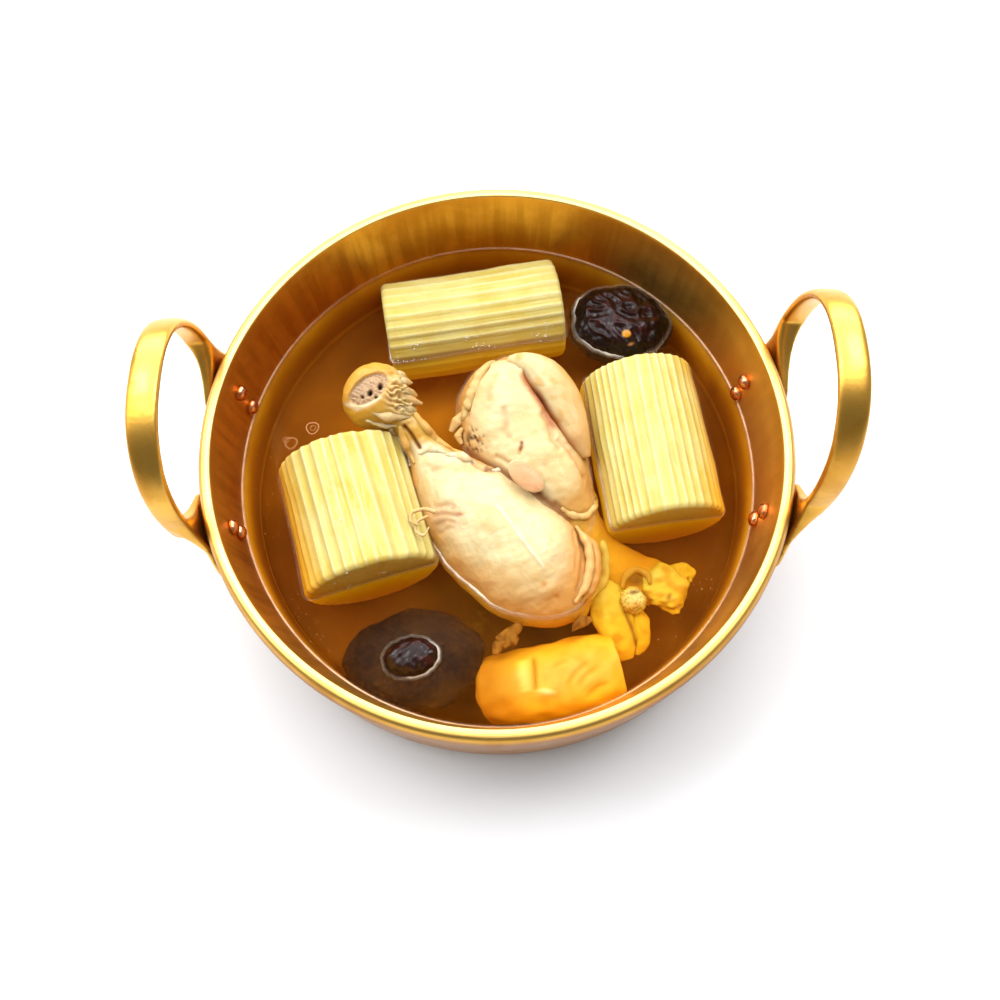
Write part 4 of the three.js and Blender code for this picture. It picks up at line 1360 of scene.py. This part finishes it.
back_rows = [[0, 37.6], [0.2, 37.5], [0.4, 37.0], [0.6, 35.9], [0.76, 34.2], [0.87, 32.2],
             [0.93, 30.8], [0.97, 29.4], [1, 27.6], [0.94, 24.6], [0.6, 20.5], [0, 20]]
front_rows = [[0, 34.9], [0.14, 34.7], [0.26, 34.0], [0.35, 32.4], [0.395, 30.8], [0.46, 29.7],
              [0.6, 29.1], [0.75, 28.0], [0.92, 25.8], [1, 23.8], [0.94, 21.4], [0.6, 17.4],
              [0, 17]]
back, worms, share = mushroom((49, 59.7), (20.3, 17.2), -12, back_rows,
                              lambda s: 0.6 * (1 - smooth(s, 0.6, 0.8)), 81)
px = picture(back)
tone = over(mushroom_tone(back, share, 0.7, 0.2),
            # painted highlight: purple-grey on the crests of the back knob's wrinkles
            (0.45 * (1 - smooth(share, 0.45, 0.7)) * smooth(worms, 0.4, 0.95), "#4A2A30"),
            (np.clip(3 * spot(px, (626.5, 333.5), (5.5, 4.8)), 0, 1), "#E89A1A"),
            (0.8 * spot(px, (631, 344), (5, 2.5), -20), "#C98A4A"))
dress("mushroom_back_cap", MUSHROOM, ["mushroom_back"], [(back, tone)])
front, _, share = mushroom((-30.5, -70.4), (25, 18), 8, front_rows,
                               lambda s: 0.07 * (1 - smooth(s, 0.25, 0.36)), 83)
tone = mushroom_tone(front, share, 0.38, 0.45)
dress("mushroom_front_cap", MUSHROOM, ["mushroom_front"], [(front, tone)])
made["mushroom_back"], made["mushroom_front"] = back, front

# %% [markdown]
# ## The broth
#
# The broth is one turned body, flat on top, that reaches just into the pot's wall and floor, so
# no gap can show between them.

# %% Broth body
REACH_IN = 0.5
liquid = np.concatenate([
    [[r, WATER] for r in (0.001, 30, 60, 80, 90)], [[WATER_RADIUS + REACH_IN, WATER]],
    [[inner_radius(h) + REACH_IN, h] for h in np.linspace(WATER - 1, corner_height, 8)],
    bow(inner_radius(corner_height) - FLOOR_CORNER, corner_height, FLOOR_CORNER + REACH_IN,
        FLOOR_CORNER + REACH_IN, 0, -90, 10)[1:],
    [[40, FLOOR - REACH_IN], [0.001, FLOOR - REACH_IN]]])
add_piece("broth_body", [shell(revolve(liquid, 240))], BROTH, ["broth"])

# %% [markdown]
# ## What is sunk in it
#
# A fourth length of gourd lies wholly under the broth near the front, with a tied-looking ring
# round it, and a few brown shreds lie beside it. Only their colours show them, as there is
# neither gloss nor a hard shadow down there; the gourd's ring and wrinkles are painted darker as
# shade.

# %% Sunk gourd and shreds
def sunk_gourd():
    """A bent tube with wrinkles along it, a pale band and a pinched ring across it."""
    grid = limb([[-5, -80, 15, 4, 4], [-4, -80, 15.5, 11.5, 11.5], [8, -79, 16.5, 13, 12.5],
                 [24, -76.5, 17, 13.6, 13], [36, -73.8, 17, 13.4, 12.5],
                 [41.5, -72.2, 17, 12, 11.6], [42.5, -72, 17, 5, 5]], 150, 160)
    way = outwards(grid)
    px, front = picture(grid), facing(grid, way)
    ring = fold(px, [(533, 656), (535, 672), (536, 692)], 2.0, 0.1)
    wrinkles = sum(fold(px, path, 2.6, 0.3) for path in (
        [(565, 689), (576, 672), (592, 658)], [(575, 690), (588, 674), (603, 664)],
        [(552, 668), (560, 662), (570, 660)], [(584, 700), (598, 688), (612, 682)]))
    knot = spot(px, (547, 692), (12, 4.5), 8)
    push = front * (-0.9 * ring - 0.5 * wrinkles + 0.7 * knot) + 0.3 * ripple(grid, 9, 91)
    grid = grid + way * push[..., None]
    return grid, paint(grid, "#FAC864", (0.6 * smooth(ripple(grid, 8, 92), 0, 1), "#F2B43C"),
                       (0.85 * smooth(-px[..., 0], -540, -486), "#B87A1A"),
                       (0.8 * fold(px, [(522, 658), (524, 675), (526, 694)], 6), "#FFEBA8"),
                       # painted shade: darker in the pinched ring and in the wrinkles
                       (0.8 * ring * front, "#A87412"), (0.4 * wrinkles * front, "#D0901C"),
                       (0.8 * knot ** 0.5, "#FFF4C0"))


dress("gourd_sunk", GOURD, [], [sunk_gourd()])
SHREDS = [((497, 640), (512, 633), (524, 622)), ((505, 648), (512, 640), (518, 637)),
          ((528, 618), (545, 614), (558, 617)), ((572, 632), (583, 622), (592, 620)),
          ((496, 655), (499, 646), (507, 641))]
SHRED_DEPTH, SHRED_SIZES = 27.0, [(0.6, 0.5), (2.2, 1.0), (0.5, 0.4)]
shreds = []
for number, path in enumerate(SHREDS):
    stations = [(*pixel, SHRED_DEPTH, *size) for pixel, size in zip(path, SHRED_SIZES)]
    grid = torn(stations, 95 + number, 0.45, 40, 30)
    mottle = smooth(ripple(grid, 3, number), 0, 1)
    shreds.append((grid, paint(grid, "#A8763A", (mottle, "#7E4E22"))))
dress("shreds", SKIN, [], shreds)

# %% [markdown]
# ## Wet edges
#
# Broth climbs a little way up whatever stands in it. That rim of liquid is less than a
# millimetre high, but it bends the light of the lamps into a bright line. Here each line of
# contact is found where a piece's grid crosses the broth's level, and a small sloping bank is
# carried round it. Where the line is bright or dim is painted on it.

# %% Lines of contact
def crossings(grid, level):
    """The points where the lines of a grid cross a level plane."""
    found = []
    for first, second in ((grid[:-1], grid[1:]), (grid, np.roll(grid, -1, 1))):
        low, high = first[..., 2] - level, second[..., 2] - level
        here = low * high < 0
        w = (low / np.where(here, low - high, 1))[here][:, None]
        found.append(first[here] + w * (second[here] - first[here]))
    return np.concatenate(found)


def contact_line(grid, steps=720):
    """A closed line round those points, by their angle about the middle of their box."""
    found = crossings(grid, WATER)[:, :2]
    middle = (found.min(0) + found.max(0)) / 2
    away = found - middle
    angle = np.arctan2(away[:, 1], away[:, 0])
    bins = ((angle + np.pi) / (2 * np.pi) * steps).astype(int) % steps
    reach = np.zeros(steps)
    np.maximum.at(reach, bins, np.hypot(*away.T))
    known = np.flatnonzero(reach)
    reach = np.interp(np.arange(steps), known, reach[known], period=steps)
    reach = np.mean([np.roll(reach, k) for k in (-2, -1, 0, 1, 2)], 0)
    turn = np.linspace(-np.pi, np.pi, steps, endpoint=False)
    return middle + reach[:, None] * np.stack([np.cos(turn), np.sin(turn)], -1)


def bank(line, width, height, outside=1):
    """A wedge carried round a closed line: high at the line, falling away as exp(-x / width)."""
    along = unit(np.roll(line, -1, 0) - np.roll(line, 1, 0))
    away = np.stack([along[:, 1], -along[:, 0]], -1) * outside
    x = np.concatenate([[-0.5], np.linspace(0, 2.4, 9) * width, [2.4 * width, -0.5]])
    z = np.concatenate([[height], height * np.exp(-np.linspace(0, 2.4, 9) * 1.6), [-0.25, -0.25]])
    flat = line[:, None] + away[:, None] * x[:, None]
    return np.concatenate([flat, np.broadcast_to(z[:, None] + WATER, (*flat.shape[:2], 1))], -1)


def ring_shell(loop):
    """A grid closed both ways, as one shell with no ends."""
    rows, cols = loop.shape[:2]
    i, j = np.meshgrid(np.arange(rows), np.arange(cols), indexing="ij")
    quads = np.stack([i * cols + j, (i + 1) % rows * cols + j,
                      (i + 1) % rows * cols + (j + 1) % cols, i * cols + (j + 1) % cols], -1)
    return loop.reshape(-1, 3), quads.reshape(-1, 4), np.zeros((0, 3), int)


def wet_edge(name, loop, shine, colour):
    """The piece of a bank, with its shine and its colour."""
    add_piece(name, [ring_shell(loop)], WET_EDGE, shine=np.clip(shine, 0, 1).ravel(),
              tone=paint(loop, colour).reshape(-1, 4))


BRIGHT = {
    "drumstick": ([(437, 548), (446, 570), (462, 584), (490, 597), (525, 605), (560, 603),
                   (574, 596)], 1.0),
    "gourd_back": ([(381, 300), (384, 330), (390, 358)], 0.8),
    "mushroom_back": ([(578, 304), (589, 338), (609, 351), (623, 349)], 0.55),
    "mushroom_front": ([(436, 640), (440, 658), (430, 670), (412, 676)], 0.4),
    "gourd_right": ([(594, 470), (598, 500), (606, 518)], 0.5),
}
EVERYWHERE, GLINT = 0.03, 7        # the shine of a dull line, and half a glint's width in pixels
for name in ("drumstick", "thigh", *GOURDS, "mushroom_back", "mushroom_front"):
    loop = bank(contact_line(made[name]), 0.4, 0.6)
    shine = np.full(loop.shape[:2], EVERYWHERE)
    if name in BRIGHT:
        path, most = BRIGHT[name]
        gap, _ = from_path(picture(loop), path)
        raised = smooth(loop[..., 2] - WATER, 0.02, 0.3)
        shine = shine + most * np.exp(-(gap / GLINT) ** 2) * raised
    wet_edge(f"edge_{name}", loop, shine, "#FFF4E4")
turn = circle(900)
loop = bank(WATER_RADIUS * np.stack([np.cos(turn), np.sin(turn)], -1), 0.45, 0.55, outside=-1)
glow = 0.5 + 0.25 * np.sin(2 * turn + 0.6) + 0.12 * np.sin(5 * turn)
wet_edge("edge_pot", loop, glow[:, None] * smooth(loop[..., 2] - WATER, 0.02, 0.25), "#F0CDB0")

# %% [markdown]
# ## Froth, fat and crumbs
#
# The last things on the broth are tiny: white froth caught on the gourds, two pairs of thin
# rings of fat, and fine crumbs that hang in the broth. Hundreds of them are made at once from one
# small dome, moved and scaled by arrays.

# %% Small things
def domes(places, sizes, flat=0.6):
    """Small seven-sided beads: one shape, copied to every place with its own size."""
    a = circle(7)
    rows = [(0.35, 0.94), (0.8, 0.55), (1, 0), (0.75, -0.6)]
    bead = np.array([[[r * np.cos(v), r * np.sin(v), h * flat] for v in a] for r, h in rows])
    points, quads, fans = shell(bead)
    step = np.arange(len(places))[:, None, None] * len(points)
    everything = places[:, None] + points * np.asarray(sizes)[:, None, None]
    return everything.reshape(-1, 3), (quads + step).reshape(-1, 4), (fans + step).reshape(-1, 3)


def on_surface(grid, pixels):
    """The points of a grid's upper side that fall nearest to the pixels."""
    upper = grid[..., 2] > WATER - 0.5
    return nearest(grid[upper], picture(grid)[upper], pixels)


def flat_colour(colour, count):
    """The same painted colour for each of count points."""
    return np.tile(linear(colour), (count, 1))


BEAD_POINTS, RING_POINTS, ON_BACK = 30, 720, 78     # froth up to ON_BACK lies on the back gourd
draw = np.random.default_rng(2)
froth_px = np.concatenate([
    centre + draw.normal(size=(count, 2)) * spread_by for centre, count, spread_by in (
        ((402, 362), 26, (11, 2.0)), ((478, 346), 16, (7, 2.5)), ((470, 338), 8, (5, 2)),
        ((543, 329), 10, (5, 3)), ((541, 338), 8, (7, 5)), ((420, 344), 10, (6, 3)),
        ((338, 520), 8, (3, 5)), ((345, 584), 10, (5, 5)), ((380, 577), 7, (5, 1.2)))])
froth = np.concatenate([on_surface(made["gourd_back"], froth_px[:ON_BACK]),
                        on_surface(made["gourd_left"], froth_px[ON_BACK:])])
add_piece("froth", [domes(froth, draw.uniform(0.14, 0.42, len(froth)))], GOURD,
          tone=flat_colour("#FFFDF0", len(froth) * BEAD_POINTS))
crumb_px = np.concatenate([
    draw.normal(middle, spread_by, (count, 2)) for middle, spread_by, count in (
        ((318, 612), (20, 22), 70), ((690, 600), (26, 26), 60), ((300, 470), (26, 40), 40))])
crumbs = at_height(crumb_px, WATER - 0.1)
crumbs = crumbs[np.hypot(crumbs[:, 0], crumbs[:, 1]) < WATER_RADIUS - 2]
add_piece("crumbs", [domes(crumbs, draw.uniform(0.1, 0.26, len(crumbs)), 0.4)], SKIN,
          tone=flat_colour("#C98B4C", len(crumbs) * BEAD_POINTS))


def fat_ring(pixel, radius, width):
    """A flat thin ring that lies on the broth."""
    centre = at_height(pixel, WATER)[0]
    a, b = np.meshgrid(circle(90), circle(8), indexing="ij")
    r = radius * (1 + 0.06 * np.sin(3 * a)) + width * np.cos(b)
    return np.stack([centre[0] + r * np.cos(a), centre[1] + r * np.sin(a),
                     WATER + 0.05 + 0.05 * np.sin(b)], -1)


FAT = [((312.5, 428), 2.3, 0.28, 0.34), ((313, 428), 1.0, 0.2, 0.2),
       ((291, 443), 2.2, 0.4, 0.14), ((286, 440), 1.1, 0.3, 0.12)]   # pixel, radius, width, shine
add_piece("fat_rings", [ring_shell(fat_ring(*ring)) for *ring, _ in FAT], WET_EDGE,
          tone=flat_colour("#D9A070", len(FAT) * RING_POINTS),
          shine=np.repeat([shine for *_, shine in FAT], RING_POINTS))

# %% [markdown]
# ## The table
#
# The table is plain and pale, so nothing competes with the pot. It is stage, not part of the
# object.

# %% Table
TABLE = Finish("table_white", None, Roughness=0.7)
TABLE.feed("Base Color", TABLE.layers(linear("#E2E2E3"),
                                      (TABLE.noise(6, 3).between(0.3, 0.7), "#DEDEE0")))
half = 3.0
corners = [(-half, -half, 0), (half, -half, 0), (half, half, 0), (-half, half, 0)]
table = put("table", plain_mesh("table", corners, [(0, 1, 2, 3)], TABLE.material))
print("table is", 2 * half, "m wide")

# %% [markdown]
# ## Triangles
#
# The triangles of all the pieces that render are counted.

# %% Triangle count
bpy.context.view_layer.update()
triangles = sum(len(p.vertices) - 2 for o in bpy.context.scene.objects
                if o.type == "MESH" and not o.hide_render for p in o.data.polygons)
print("about", triangles, "triangles in all")
